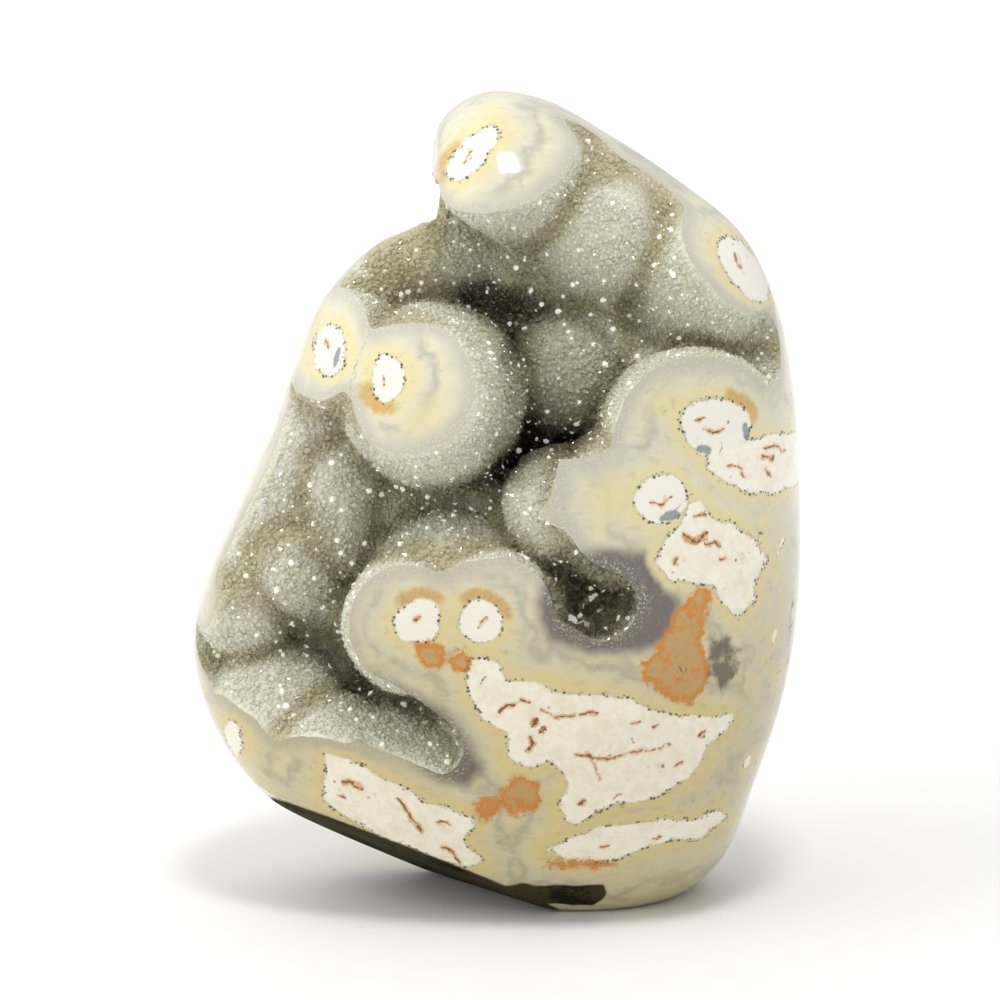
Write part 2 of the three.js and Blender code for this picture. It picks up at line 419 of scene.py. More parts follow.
def vertices_of(mesh: bpy.types.Mesh) -> np.ndarray:
    """Reads a mesh's vertices.

    Args:
        mesh: The mesh.

    Returns:
        The vertices as rows.
    """
    flat = np.empty(len(mesh.vertices) * 3)
    mesh.vertices.foreach_get("co", flat)
    return flat.reshape(-1, 3)


def place_vertices(mesh: bpy.types.Mesh, points: np.ndarray) -> None:
    """Moves a mesh's vertices to rows of points."""
    mesh.vertices.foreach_set("co", points.ravel())
    mesh.update()


def keep_columns(mesh: bpy.types.Mesh, name: str, *columns: np.ndarray) -> None:
    """Keeps three numbers for each vertex of a mesh under a name."""
    attribute = mesh.attributes.new(name, "FLOAT_VECTOR", "POINT")
    attribute.data.foreach_set("vector", np.stack(columns, -1).astype(np.float32).ravel())


def new_object(name: str, data: bpy.types.ID) -> bpy.types.Object:
    """Adds a mesh, light or camera to the scene as an object at the origin.

    Args:
        name: The object's name.
        data: Its mesh, light or camera.

    Returns:
        The object.
    """
    made = bpy.data.objects.new(name, data)
    bpy.context.scene.collection.objects.link(made)
    return made


def balls_object(name: str, balls: Sequence[Ball], subdivisions: int) -> bpy.types.Object:
    """Builds overlapping balls as one mesh.

    Args:
        name: The object's name.
        balls: The balls.
        subdivisions: How finely each ball is made.

    Returns:
        The object, in millimetres.
    """
    bm = bmesh.new()
    for ball in balls:
        made = bmesh.ops.create_icosphere(bm, subdivisions=subdivisions, radius=1.0)["verts"]
        placed = ball.reshape(np.array([vert.co.normalized() for vert in made]))
        for vert, point in zip(made, placed):
            vert.co = point
    mesh = bpy.data.meshes.new(name)
    bm.to_mesh(mesh)
    bm.free()
    return new_object(name, mesh)


def apply_modifiers(obj: bpy.types.Object) -> None:
    """Makes an object's modifiers part of its mesh.

    Args:
        obj: The object, which keeps its name and takes a new mesh.
    """
    evaluated = obj.evaluated_get(bpy.context.evaluated_depsgraph_get())
    finished = bpy.data.meshes.new_from_object(evaluated)
    old = obj.data
    obj.modifiers.clear()
    obj.data = finished
    bpy.data.meshes.remove(old)


def fuse(obj: bpy.types.Object, voxel: float) -> None:
    """Merges overlapping closed forms into one skin of even facets.

    Args:
        obj: The object that holds the forms.
        voxel: The facets' size in millimetres.
    """
    remesh = obj.modifiers.new("fused", "REMESH")
    remesh.mode = "VOXEL"
    remesh.voxel_size = voxel
    apply_modifiers(obj)


def cut(obj: bpy.types.Object, cutter: bpy.types.Object) -> None:
    """Takes one closed form out of another, and removes the cutter.

    Args:
        obj: The object that is cut.
        cutter: The object whose form is taken out.
    """
    boolean = obj.modifiers.new("cut", "BOOLEAN")
    boolean.operation = "DIFFERENCE"
    boolean.solver = "MANIFOLD"
    boolean.object = cutter
    apply_modifiers(obj)
    leftover = cutter.data
    bpy.data.objects.remove(cutter)
    bpy.data.meshes.remove(leftover)


@dataclass
class Hollow:
    """The open space in the stone: the scooped hollow less the lobes that stand in it."""

    voxel: float = 0.68
    lump_size: float = 4.5
    lump_height: float = 0.35
    grain_size: float = 1.1
    grain_height: float = 0.22
    middle_grain: float = 0.4
    ball_subdivisions: int = 5

    def build(self) -> bpy.types.Object:
        """Makes the open space as a closed form with a rough, lumpy surface.

        Returns:
            The space's object, in millimetres.
        """
        space = balls_object("hollow_space", HOLLOW, self.ball_subdivisions)
        fuse(space, self.voxel)
        lobes = balls_object("lobes", list(LOBES.values()), self.ball_subdivisions)
        fuse(lobes, self.voxel)
        cut(space, lobes)
        fuse(space, self.voxel)
        self._roughen(space.data)
        return space

    def _roughen(self, mesh: bpy.types.Mesh) -> None:
        """Gives the space's surface its lumps and grains.

        Args:
            mesh: The space's mesh, in millimetres.
        """
        points = vertices_of(mesh)
        normals = np.empty(len(mesh.vertices) * 3)
        mesh.vertices.foreach_get("normal", normals)
        heights = np.array([self._height(Vector(point)) for point in points])
        place_vertices(mesh, points + normals.reshape(-1, 3) * heights[:, None])

    def _height(self, point: Vector) -> float:
        """Gives the druze's height at a point.

        Args:
            point: A place on the space's surface.

        Returns:
            The height of its lumps and sharper grains together.
        """
        lumps = noise.noise(point / self.lump_size) * self.lump_height
        nearest = noise.voronoi(point / self.grain_size)[0]
        return lumps + (nearest[1] - nearest[0] - self.middle_grain) * self.grain_height


@dataclass(frozen=True)
class Oval:
    """An oval on the photograph: its centre, half axes and tilt, in pixels and degrees."""

    column: float
    row: float
    half_width: float
    half_height: float
    tilt: float = 0.0

    def distance(self, pixels: np.ndarray) -> np.ndarray:
        """Gives about how far each point is from the oval.

        Args:
            pixels: Columns and rows, as rows.

        Returns:
            The distances in pixels, less than 0 inside the oval.
        """
        turned = math.radians(self.tilt)
        across, down = pixels[:, 0] - self.column, pixels[:, 1] - self.row
        first = across * math.cos(turned) + down * math.sin(turned)
        second = down * math.cos(turned) - across * math.sin(turned)
        level = np.hypot(first / self.half_width, second / self.half_height)
        slope = np.hypot(first / self.half_width**2, second / self.half_height**2) / np.maximum(level, 1e-3)
        return np.clip((level - 1) / np.maximum(slope, 1e-3), -min(self.half_width, self.half_height), None)


@dataclass(frozen=True)
class Patch:
    """A closed outline on the photograph, in pixels."""

    outline: tuple[tuple[float, float], ...]

    def distance(self, pixels: np.ndarray) -> np.ndarray:
        """Gives how far each point is from the outline.

        Args:
            pixels: Columns and rows, as rows.

        Returns:
            The distances in pixels, less than 0 inside the outline.
        """
        best = np.full(len(pixels), np.inf)
        inside = np.zeros(len(pixels), bool)
        corners = np.array(self.outline, float)
        for start, end in zip(corners, np.roll(corners, -1, axis=0)):
            line = end - start
            share = np.clip((pixels - start) @ line / (line @ line), 0, 1)
            best = np.minimum(best, np.linalg.norm(pixels - start - share[:, None] * line, axis=1))
            straddles = (start[1] > pixels[:, 1]) != (end[1] > pixels[:, 1])
            crossing = start[0] + (pixels[:, 1] - start[1]) * line[0] / (line[1] if line[1] else 1e-9)
            inside ^= straddles & (pixels[:, 0] < crossing)
        return np.where(inside, -best, best)


@dataclass(frozen=True)
class Vein:
    """A thin line on the photograph through a few pixels, with its half width."""

    points: tuple[tuple[float, float], ...]
    half_width: float


AGATE_EYES: tuple[Oval, ...] = (
    Oval(472, 154, 35, 14, -48),
    Oval(330, 351, 15, 26),
    Oval(387, 379, 16, 23),
    Oval(744, 269, 37, 17, 54),
    Oval(234, 737, 8, 16, -12),
    Oval(418, 621, 22, 22),
    Oval(481, 622, 21, 21),
    Oval(716, 427, 34, 29),
    Oval(661, 499, 26, 24),
)

WHITE_AREAS: tuple[Patch, ...] = (
    Patch((
        (464, 672), (472, 660), (486, 657), (500, 664), (506, 682), (540, 682), (555, 692), (611, 695),
        (675, 716), (733, 716), (724, 730), (708, 744), (700, 762), (687, 780), (647, 799), (598, 811),
        (577, 824), (565, 820), (560, 800), (568, 790), (565, 774), (549, 760), (535, 768), (520, 766),
        (508, 756), (510, 731), (483, 719), (468, 695),
    )),
    Patch((
        (326, 756), (347, 760), (369, 771), (399, 785), (416, 794), (427, 805), (451, 808), (470, 816),
        (473, 825), (464, 842), (482, 860), (466, 868), (433, 858), (390, 840), (350, 818), (322, 800),
    )),
    Patch((
        (546, 851), (574, 838), (598, 829), (647, 822), (696, 820), (718, 811), (726, 818), (700, 838),
        (647, 845), (617, 860), (586, 862),
    )),
    Patch((
        (657, 562), (663, 543), (680, 524), (690, 505), (700, 500), (712, 518), (735, 526), (757, 540),
        (767, 560), (757, 580), (754, 600), (738, 618), (722, 604), (713, 584), (695, 582), (670, 578),
    )),
    Patch((
        (704, 468), (712, 452), (735, 442), (765, 436), (800, 432), (803, 480), (775, 494), (745, 492),
        (728, 484),
    )),
)

YELLOW_GLOWS: tuple[Oval, ...] = (
    Oval(427, 426, 26, 26),
    Oval(610, 500, 20, 28),
    Oval(662, 402, 18, 16),
    Oval(640, 560, 12, 12),
)

TAN_ARCS: tuple[Oval, ...] = (
    Oval(418, 596, 26, 12),
    Oval(490, 602, 34, 14, 20),
    Oval(372, 402, 26, 18, 30),
    Oval(445, 166, 10, 30, 35),
    Oval(742, 404, 14, 22, -30),
)

OCHRE_STAINS: tuple[Oval | Patch, ...] = (
    Patch((
        (700, 585), (710, 590), (709, 606), (704, 626), (698, 642), (706, 655), (710, 674), (703, 692),
        (690, 702), (672, 700), (656, 690), (644, 676), (642, 660), (656, 652), (660, 640), (668, 628),
        (676, 610), (688, 602),
    )),
    Oval(487, 809, 11, 14, 20),
    Oval(521, 796, 20, 17, -20),
    Oval(431, 655, 15, 14, 20),
    Oval(461, 661, 14, 9),
    Oval(580, 864, 32, 4),
)

PURPLE_ZONES: tuple[Patch, ...] = (
    Patch((
        (535, 600), (556, 562), (600, 548), (645, 552), (668, 590), (684, 600), (672, 640), (640, 652),
        (590, 654), (548, 640),
    )),
    Patch((
        (340, 684), (370, 676), (410, 692), (445, 712), (470, 745), (484, 770), (468, 786), (440, 780),
        (400, 752), (360, 736),
    )),
)

BLUE_MARKS: tuple[Oval, ...] = (
    Oval(337, 357, 3, 11, 12),
    Oval(670, 516, 12, 5, -15),
    Oval(746, 432, 4, 9, -10),
    Oval(704, 450, 8, 4, 10),
)

GREY_PATCH = Patch(((708, 636), (733, 640), (738, 676), (722, 690), (708, 676)))

MILKY_BELLY = Patch((
    (742, 500), (716, 492), (700, 470), (712, 450), (750, 405), (800, 400), (800, 500), (806, 580),
    (792, 680), (762, 800), (735, 850), (640, 885), (600, 872), (640, 850), (720, 820), (738, 740),
    (745, 640),
))

DARK_FRONT_EDGE = Patch((
    (500, 886), (520, 884), (560, 885), (603, 885), (607, 893), (592, 906), (540, 904), (503, 899),
))

DEEP_SHADOWS: tuple[Oval, ...] = (
    Oval(584, 578, 14, 16),
    Oval(555, 465, 66, 22, -8),
    Oval(498, 400, 14, 56, 8),
    Oval(372, 675, 18, 36),
    Oval(497, 300, 56, 16, 12),
)

POCKET_AT = np.array((590.0, 590.0))
POCKET_REACH = 52.0
# The pocket's depth is held in this span, for an even mid-dark painted shade there.
POCKET_SHADE_DEPTHS = (17.0, 25.0)

RED_VEINS: tuple[Vein, ...] = (
    Vein(((540, 710), (555, 717), (598, 714)), 1.4),
    Vein(((502, 711), (508, 704), (514, 706)), 2.4),
    Vein(((522, 700), (528, 702)), 2.2),
    Vein(((528, 751), (533, 744), (531, 737)), 2.6),
    Vein(((532, 724), (535, 721)), 2.8),
    Vein(((541, 731), (543, 729)), 2.6),
    Vein(((577, 753), (595, 759), (635, 753), (670, 744)), 1.7),
    Vein(((594, 762), (600, 780)), 1.2),
    Vein(((614, 798), (620, 794)), 1.4),
    Vein(((578, 806), (585, 803)), 1.3),
    Vein(((634, 723), (640, 721)), 1.5),
    Vein(((652, 727), (658, 725)), 1.3),
    Vein(((675, 767), (682, 763)), 1.8),
    Vein(((699, 735), (706, 731)), 1.7),
    Vein(((343, 782), (352, 784), (361, 789)), 2.6),
    Vein(((338, 794), (344, 797)), 1.2),
    Vein(((398, 799), (408, 812), (422, 832)), 2.2),
    Vein(((438, 822), (450, 826)), 1.5),
    Vein(((441, 846), (452, 852), (461, 866)), 1.5),
    Vein(((600, 847), (609, 845)), 1.2),
    Vein(((653, 838), (660, 836)), 1.2),
    Vein(((697, 421), (703, 419)), 1.2),
    Vein(((703, 430), (713, 433), (724, 429)), 1.2),
    Vein(((652, 503), (662, 506), (670, 497)), 1.6),
    Vein(((696, 517), (704, 514)), 2.2),
    Vein(((686, 535), (694, 541), (704, 535)), 3.2),
    Vein(((707, 543), (717, 545)), 2.2),
    Vein(((721, 560), (726, 559)), 1.8),
    Vein(((675, 564), (678, 560)), 1.8),
    Vein(((764, 446), (775, 447), (785, 451)), 1.4),
    Vein(((762, 456), (772, 458)), 2.2),
    Vein(((728, 468), (739, 465), (745, 478)), 1.1),
    Vein(((765, 468), (770, 477)), 1.0),
    Vein(((414, 622), (418, 618)), 2.4),
    Vein(((480, 625), (486, 618)), 2.2),
    Vein(((462, 162), (470, 151)), 1.2),
    Vein(((383, 376), (384, 384)), 1.8),
    Vein(((326, 342), (328, 347)), 1.8),
    Vein(((736, 255), (740, 268)), 1.2),
)

DARK_VEINS: tuple[Vein, ...] = (
    Vein(((365, 341), (357, 356), (353, 378), (350, 392)), 0.35),
    Vein(((698, 491), (688, 497), (679, 508), (670, 516)), 0.6),
    Vein(((679, 667), (682, 674)), 1.1),
    Vein(((686, 666), (689, 673)), 1.1),
    Vein(((677, 679), (683, 681)), 1.1),
    Vein(((792, 600), (788, 660), (776, 720), (762, 770), (745, 815)), 1.0),
    Vein(((480, 684), (487, 679)), 2.0),
    Vein(((720, 455), (724, 446), (722, 440)), 0.8),
)


@dataclass
class Markings:
    """The agate's growth pattern, as distances and masks kept on a mesh's vertices."""

    back_eyes: int = 46
    draws: int = 400
    back_from: float = 0.05
    deepest_eye: float = 0.06
    eye_radii: tuple[float, float] = (1.6, 6.5)
    eye_squeeze: float = 0.4
    eye_fade: tuple[float, float] = (-0.5, 1.5)
    deepest_front: float = -4.0
    front_fade: float = 3.0
    front_cores_end: float = 8.0
    dark_edge_inset: float = 0.6
    dark_edge_end: float = 10.0
    veins_end: float = 50.0
    nowhere: float = 99.0
    furthest_druze: float = 30.0
    edge_drift: tuple[float, float] = (2.6, 2.2)
    vein_drift: tuple[float, float] = (0.9, 3.0)

    def __post_init__(self) -> None:
        """Chooses the agate eyes that the photograph doesn't show."""
        noise.seed_set(SEED)
        chance = np.random.default_rng(SEED)
        directions = chance.normal(size=(self.draws, 3))
        directions /= np.linalg.norm(directions, axis=1)[:, None]
        directions = directions[directions[:, 2] < self.back_from][: self.back_eyes]
        deep = chance.uniform(0.0, self.deepest_eye, (len(directions), 1))
        self.eyes = SKIN.reshape(directions) * (1 - deep)
        self.eye_sizes = chance.uniform(*self.eye_radii, len(directions))
        self.eye_stretch = chance.normal(size=(len(directions), 3))
        self.eye_stretch /= np.linalg.norm(self.eye_stretch, axis=1)[:, None]

    def keep_on(self, mesh: bpy.types.Mesh) -> None:
        """Works the pattern out for a mesh in millimetres, and stores it as attributes.

        Args:
            mesh: The stone, whose druzy faces have their own material index.
        """
        points = vertices_of(mesh)
        pixels = PLANE.pixels(points) + self._drift(points, *self.edge_drift)
        front = self._frontness(points)
        core, eye = self._core(points, pixels, front)
        rim = self._rim(mesh, points)
        keep_columns(mesh, "layers", core, rim, eye)
        keep_columns(
            mesh, "stains",
            self._soft(OCHRE_STAINS, pixels, 10.0) * front,
            self._soft(PURPLE_ZONES, pixels, 9.0) * front,
            self._soft(BLUE_MARKS, pixels, 2.5) * front,
        )
        keep_columns(
            mesh, "tints",
            self._soft(YELLOW_GLOWS, pixels, 18.0) * front,
            self._soft((MILKY_BELLY,), pixels, 16.0) * front + (1 - front),
            np.minimum(SKIN.above_bevel(points), self._above_dark_edge(pixels, front)),
        )
        keep_columns(
            mesh, "arcs",
            self._soft(TAN_ARCS, pixels, 5.0) * front,
            self._soft((GREY_PATCH,), pixels, 9.0) * front,
            front,
        )
        wavy = pixels + self._drift(points, *self.vein_drift)
        for name, veins in (("red_veins", RED_VEINS), ("dark_veins", DARK_VEINS)):
            keep_columns(mesh, name, *self._veins(veins, wavy, front))

    def _above_dark_edge(self, pixels: np.ndarray, front: np.ndarray) -> np.ndarray:
        """Gives the distance to the dark patch in front of the foot, on the bevel's own scale."""
        away = DARK_FRONT_EDGE.distance(pixels) / PLANE.pixels_per_mm + self.dark_edge_inset
        return away + (1 - front) * self.dark_edge_end

    @staticmethod
    def _drift(points: np.ndarray, size: float, reach: float) -> np.ndarray:
        """Gives a small wander, so that nothing drawn is quite smooth.

        Args:
            points: The points as rows, in millimetres.
            size: How many millimetres the wander takes to change.
            reach: How many pixels it goes at most.

        Returns:
            Columns and rows to add, as rows.
        """
        wander = [noise.noise_vector(Vector(point) / size) for point in points]
        return np.array(wander)[:, :2] * reach

    def _frontness(self, points: np.ndarray) -> np.ndarray:
        """Gives 1 where the photograph shows the stone, and 0 on its back."""
        _, up, out = PLANE.read(points)
        start, end = self.deepest_front - self.front_fade, self.deepest_front + self.front_fade
        return smoothstep(out - PLANE.lean_at(up), start, end)

    def _core(
        self, points: np.ndarray, pixels: np.ndarray, front: np.ndarray
    ) -> tuple[np.ndarray, np.ndarray]:
        """Finds the nearest white core.

        Args:
            points: The points as rows, in millimetres.
            pixels: Their columns and rows.
            front: 1 where the photograph shows the stone.

        Returns:
            The distance to the core in millimetres, and 1 where that core is an eye.
        """
        eyes = np.min([shape.distance(pixels) for shape in AGATE_EYES], axis=0) / PLANE.pixels_per_mm
        areas = np.min([shape.distance(pixels) for shape in WHITE_AREAS], axis=0) / PLANE.pixels_per_mm
        shown = np.minimum(eyes, areas) + (1 - front) * self.front_cores_end
        best = np.where(front > 0, shown, self.nowhere)
        for centre, size, stretch in zip(self.eyes, self.eye_sizes, self.eye_stretch):
            away = points - centre
            squeezed = away - self.eye_squeeze * (away @ stretch)[:, None] * stretch
            best = np.minimum(best, np.linalg.norm(squeezed, axis=1) - size)
        return best, smoothstep(areas - eyes, *self.eye_fade) * front

    def _rim(self, mesh: bpy.types.Mesh, points: np.ndarray) -> np.ndarray:
        """Gives each vertex's distance to the druze.

        Args:
            mesh: The stone.
            points: Its vertices as rows.

        Returns:
            The distances in millimetres.
        """
        druzy = [tuple(face.vertices) for face in mesh.polygons if face.material_index == Surface.DRUZY.value]
        tree = BVHTree.FromPolygons([tuple(point) for point in points], druzy)
        gaps = [tree.find_nearest(Vector(point), self.furthest_druze)[3] for point in points]
        return np.array([self.furthest_druze if gap is None else gap for gap in gaps])

    @staticmethod
    def _soft(shapes: Sequence[Oval | Patch], pixels: np.ndarray, softness: float) -> np.ndarray:
        """Gives a soft mask of some shapes.

        Args:
            shapes: The ovals and patches.
            pixels: Columns and rows, as rows.
            softness: How many pixels the mask fades over, on either side of an outline.

        Returns:
            1 well inside any of the shapes and 0 outside them.
        """
        nearest = np.min([shape.distance(pixels) for shape in shapes], axis=0)
        return 1 - smoothstep(nearest, -softness, softness)

    def _veins(
        self, veins: Sequence[Vein], pixels: np.ndarray, front: np.ndarray
    ) -> tuple[np.ndarray, ...]:
        """Finds the nearest vein.

        Args:
            veins: The veins.
            pixels: Columns and rows, as rows.
            front: 1 where the photograph shows the stone.

        Returns:
            The signed distance across it, its half width and the plain distance, in millimetres.
        """
        nearest = np.full(len(pixels), FAR_PIXELS)
        across = np.full(len(pixels), FAR_PIXELS)
        width = np.zeros(len(pixels))
        for vein in veins:
            corners = np.array(vein.points, float)
            for start, end in zip(corners[:-1], corners[1:]):
                line = end - start
                length = np.linalg.norm(line)
                share = np.clip((pixels - start) @ line / length**2, 0, 1)
                away = pixels - start - share[:, None] * line
                gap = np.linalg.norm(away, axis=1)
                closer = gap < nearest
                side = ((pixels - start) @ np.array([-line[1], line[0]])) / length
                nearest = np.where(closer, gap, nearest)
                across = np.where(closer, side, across)
                width = np.where(closer, vein.half_width, width)
        nearest = nearest + (1 - front) * self.veins_end
        return across / PLANE.pixels_per_mm, width / PLANE.pixels_per_mm, nearest / PLANE.pixels_per_mm


class Value:
    """A number in a material's nodes, which Python's operators add Math nodes to."""

    def __init__(self, graph: "Graph", socket: bpy.types.NodeSocket) -> None:
        """Wraps a socket of the graph."""
        self.graph = graph
        self.socket = socket

    def _math(self, operation: str, *operands: object) -> "Value":
        """Adds a Math node on this value and others."""
        return self.graph.node("ShaderNodeMath", {"operation": operation}, dict(enumerate(operands)))

    def __add__(self, other: object) -> "Value":
        """Adds."""
        return self._math("ADD", self, other)

    __radd__ = __add__

    def __sub__(self, other: object) -> "Value":
        """Subtracts."""
        return self._math("SUBTRACT", self, other)

    def __rsub__(self, other: object) -> "Value":
        """Subtracts this from a number."""
        return self._math("SUBTRACT", other, self)

    def __mul__(self, other: object) -> "Value":
        """Multiplies."""
        return self._math("MULTIPLY", self, other)

    __rmul__ = __mul__

    def __truediv__(self, other: object) -> "Value":
        """Divides."""
        return self._math("DIVIDE", self, other)

    def __abs__(self) -> "Value":
        """Drops the sign."""
        return self._math("ABSOLUTE", self)

    def at_least(self, other: object) -> "Value":
        """Takes the larger."""
        return self._math("MAXIMUM", self, other)

    def at_most(self, other: object) -> "Value":
        """Takes the smaller."""
        return self._math("MINIMUM", self, other)

    def rise(self, low: float, high: float) -> "Value":
        """Goes smoothly from 0 at low to 1 at high, or down where high is less.

        Args:
            low: Where the result is 0.
            high: Where the result is 1.

        Returns:
            The result, 0 to 1.
        """
        if low < high:
            return self.between(low, high, 0.0, 1.0)
        return self.between(high, low, 1.0, 0.0)

    def between(self, start: float, end: float, first: float, last: float) -> "Value":
        """Goes smoothly from first at start to last at end.

        Args:
            start: The lower place.
            end: The higher place.
            first: The result at the lower place.
            last: The result at the higher place.

        Returns:
            The result.
        """
        settings = {"interpolation_type": "SMOOTHSTEP"}
        return self.graph.node("ShaderNodeMapRange", settings, {0: self, 1: start, 2: end, 3: first, 4: last})


def colour(red: int, green: int, blue: int) -> tuple[float, float, float, float]:
    """Turns a colour as seen on screen into the linear one that shaders use.

    Args:
        red: Its red, 0 to 255.
        green: Its green.
        blue: Its blue.

    Returns:
        The linear colour, opaque.
    """

    def linear(value: float) -> float:
        """Undoes the screen's curve."""
        share = value / 255
        return share / 12.92 if share <= 0.04045 else ((share + 0.055) / 1.055) ** 2.4

    return linear(red), linear(green), linear(blue), 1.0


class Graph:
    """The nodes of a material or of the world."""

    def __init__(self, owner: bpy.types.Material | bpy.types.World) -> None:
        """Empties the owner's nodes.

        Args:
            owner: The material or world.
        """
        owner.use_nodes = True
        self.owner = owner
        self.tree = owner.node_tree
        self.tree.nodes.clear()

    @classmethod
    def of_material(cls, name: str) -> "Graph":
        """Starts an empty material."""
        return cls(bpy.data.materials.new(name))

    def node(self, kind: str, settings: dict, sockets: dict, output: int | str | None = 0) -> Value | None:
        """Adds a node.

        Args:
            kind: The node's type.
            settings: Its own settings, set before its sockets. A ramp's stops are under "stops".
            sockets: Values or links, by the socket's number or name.
            output: The output socket wanted, or None for a node that ends the graph.

        Returns:
            That output.
        """
        made = self.tree.nodes.new(kind)
        for key, value in settings.items():
            if key == "stops":
                self._set_stops(made.color_ramp, value)
            else:
                setattr(made, key, value)
        for key, value in sockets.items():
            if isinstance(value, Value):
                self.tree.links.new(value.socket, made.inputs[key])
            else:
                made.inputs[key].default_value = value
        return None if output is None else Value(self, made.outputs[output])

    @staticmethod
    def _set_stops(ramp: bpy.types.ColorRamp, stops: Sequence[tuple[float, tuple]]) -> None:
        """Gives a colour ramp its stops.

        Args:
            ramp: The ramp, with its first two stops.
            stops: Places from 0 to 1, each with its colour.
        """
        while len(ramp.elements) < len(stops):
            ramp.elements.new(1.0)
        for element, (position, shade) in zip(ramp.elements, stops):
            element.position = position
            element.color = shade

    def millimetres(self) -> Value:
        """Gives the piece's own coordinates in millimetres."""
        place = self.node("ShaderNodeTexCoord", {}, {}, "Object")
        return self.node("ShaderNodeVectorMath", {"operation": "SCALE"}, {0: place, "Scale": 1 / MM})

    def stretched(self, place: Value) -> Value:
        """Gives places whose noise is drawn out sideways and downwards."""
        turned = {"Scale": (0.3, 1.0, 0.8), "Rotation": (0.0, 0.45, 0.0)}
        return self.node("ShaderNodeMapping", {}, {"Vector": place, **turned})

    def height(self, place: Value) -> Value:
        """Gives how high a place is above the foot."""
        return self.node("ShaderNodeSeparateXYZ", {}, {0: place}, 2)

    def attribute(self, name: str) -> tuple[Value, Value, Value]:
        """Gives the three numbers kept on the mesh under a name."""
        kept = self.node("ShaderNodeAttribute", {"attribute_name": name}, {}, "Vector")
        first, second, third = (self.node("ShaderNodeSeparateXYZ", {}, {0: kept}, i) for i in range(3))
        return first, second, third

    def noise(self, place: Value, size: float, detail: float = 3.0, rough: float = 0.55) -> Value:
        """Gives cloudy noise from -0.5 to 0.5.

        Args:
            place: The coordinates in millimetres.
            size: How wide its clouds are.
            detail: How many finer layers it has.
            rough: How strong the finer layers are.

        Returns:
            The noise.
        """
        sockets = {"Vector": place, "Scale": 1 / size, "Detail": detail, "Roughness": rough}
        return self.node("ShaderNodeTexNoise", {}, sockets) - 0.5

    def cells(self, place: Value, size: float) -> Value:
        """Gives the distance to the nearest of scattered points, about size millimetres apart."""
        return self.node("ShaderNodeTexVoronoi", {}, {"Vector": place, "Scale": 1 / size}, "Distance")

    def ramp(self, value: Value, span: float, stops: Sequence[tuple[float, tuple]]) -> Value:
        """Colours a value by stops.

        Args:
            value: The value.
            span: The value at the ramp's end.
            stops: Places in the value's own unit, each with its colour.

        Returns:
            The colour.
        """
        scaled = [(position / span, shade) for position, shade in stops]
        return self.node("ShaderNodeValToRGB", {"stops": scaled}, {0: value / span})

    def mix(self, factor: object, first: object, second: object, blend: str = "MIX") -> Value:
        """Mixes two colours.

        Args:
            factor: How much of the second shows.
            first: The first colour.
            second: The second colour.
            blend: The way of mixing.

        Returns:
            The colour.
        """
        settings = {"data_type": "RGBA", "blend_type": blend, "clamp_factor": True}
        return self.node("ShaderNodeMix", settings, {0: factor, 6: first, 7: second}, 2)

    def bump(self, height: Value, depth: float) -> Value:
        """Makes a normal from a height, depth millimetres from its 0 to its 1."""
        return self.node("ShaderNodeBump", {}, {"Height": height, "Distance": depth * MM}, "Normal")

    def finish(
        self, sockets: dict, share: Value | None = None, matt: dict | None = None
    ) -> bpy.types.Material:
        """Ends the material.

        Args:
            sockets: The main Principled shader's values and links.
            share: How much of a second Principled shader shows, where there is one.
            matt: That shader's values and links.

        Returns:
            The material.
        """
        shader = self.node("ShaderNodeBsdfPrincipled", {}, sockets)
        if share is not None:
            second = self.node("ShaderNodeBsdfPrincipled", {}, matt)
            shader = self.node("ShaderNodeMixShader", {}, {0: share, 1: shader, 2: second})
        self.node("ShaderNodeOutputMaterial", {}, {"Surface": shader}, None)
        return self.owner


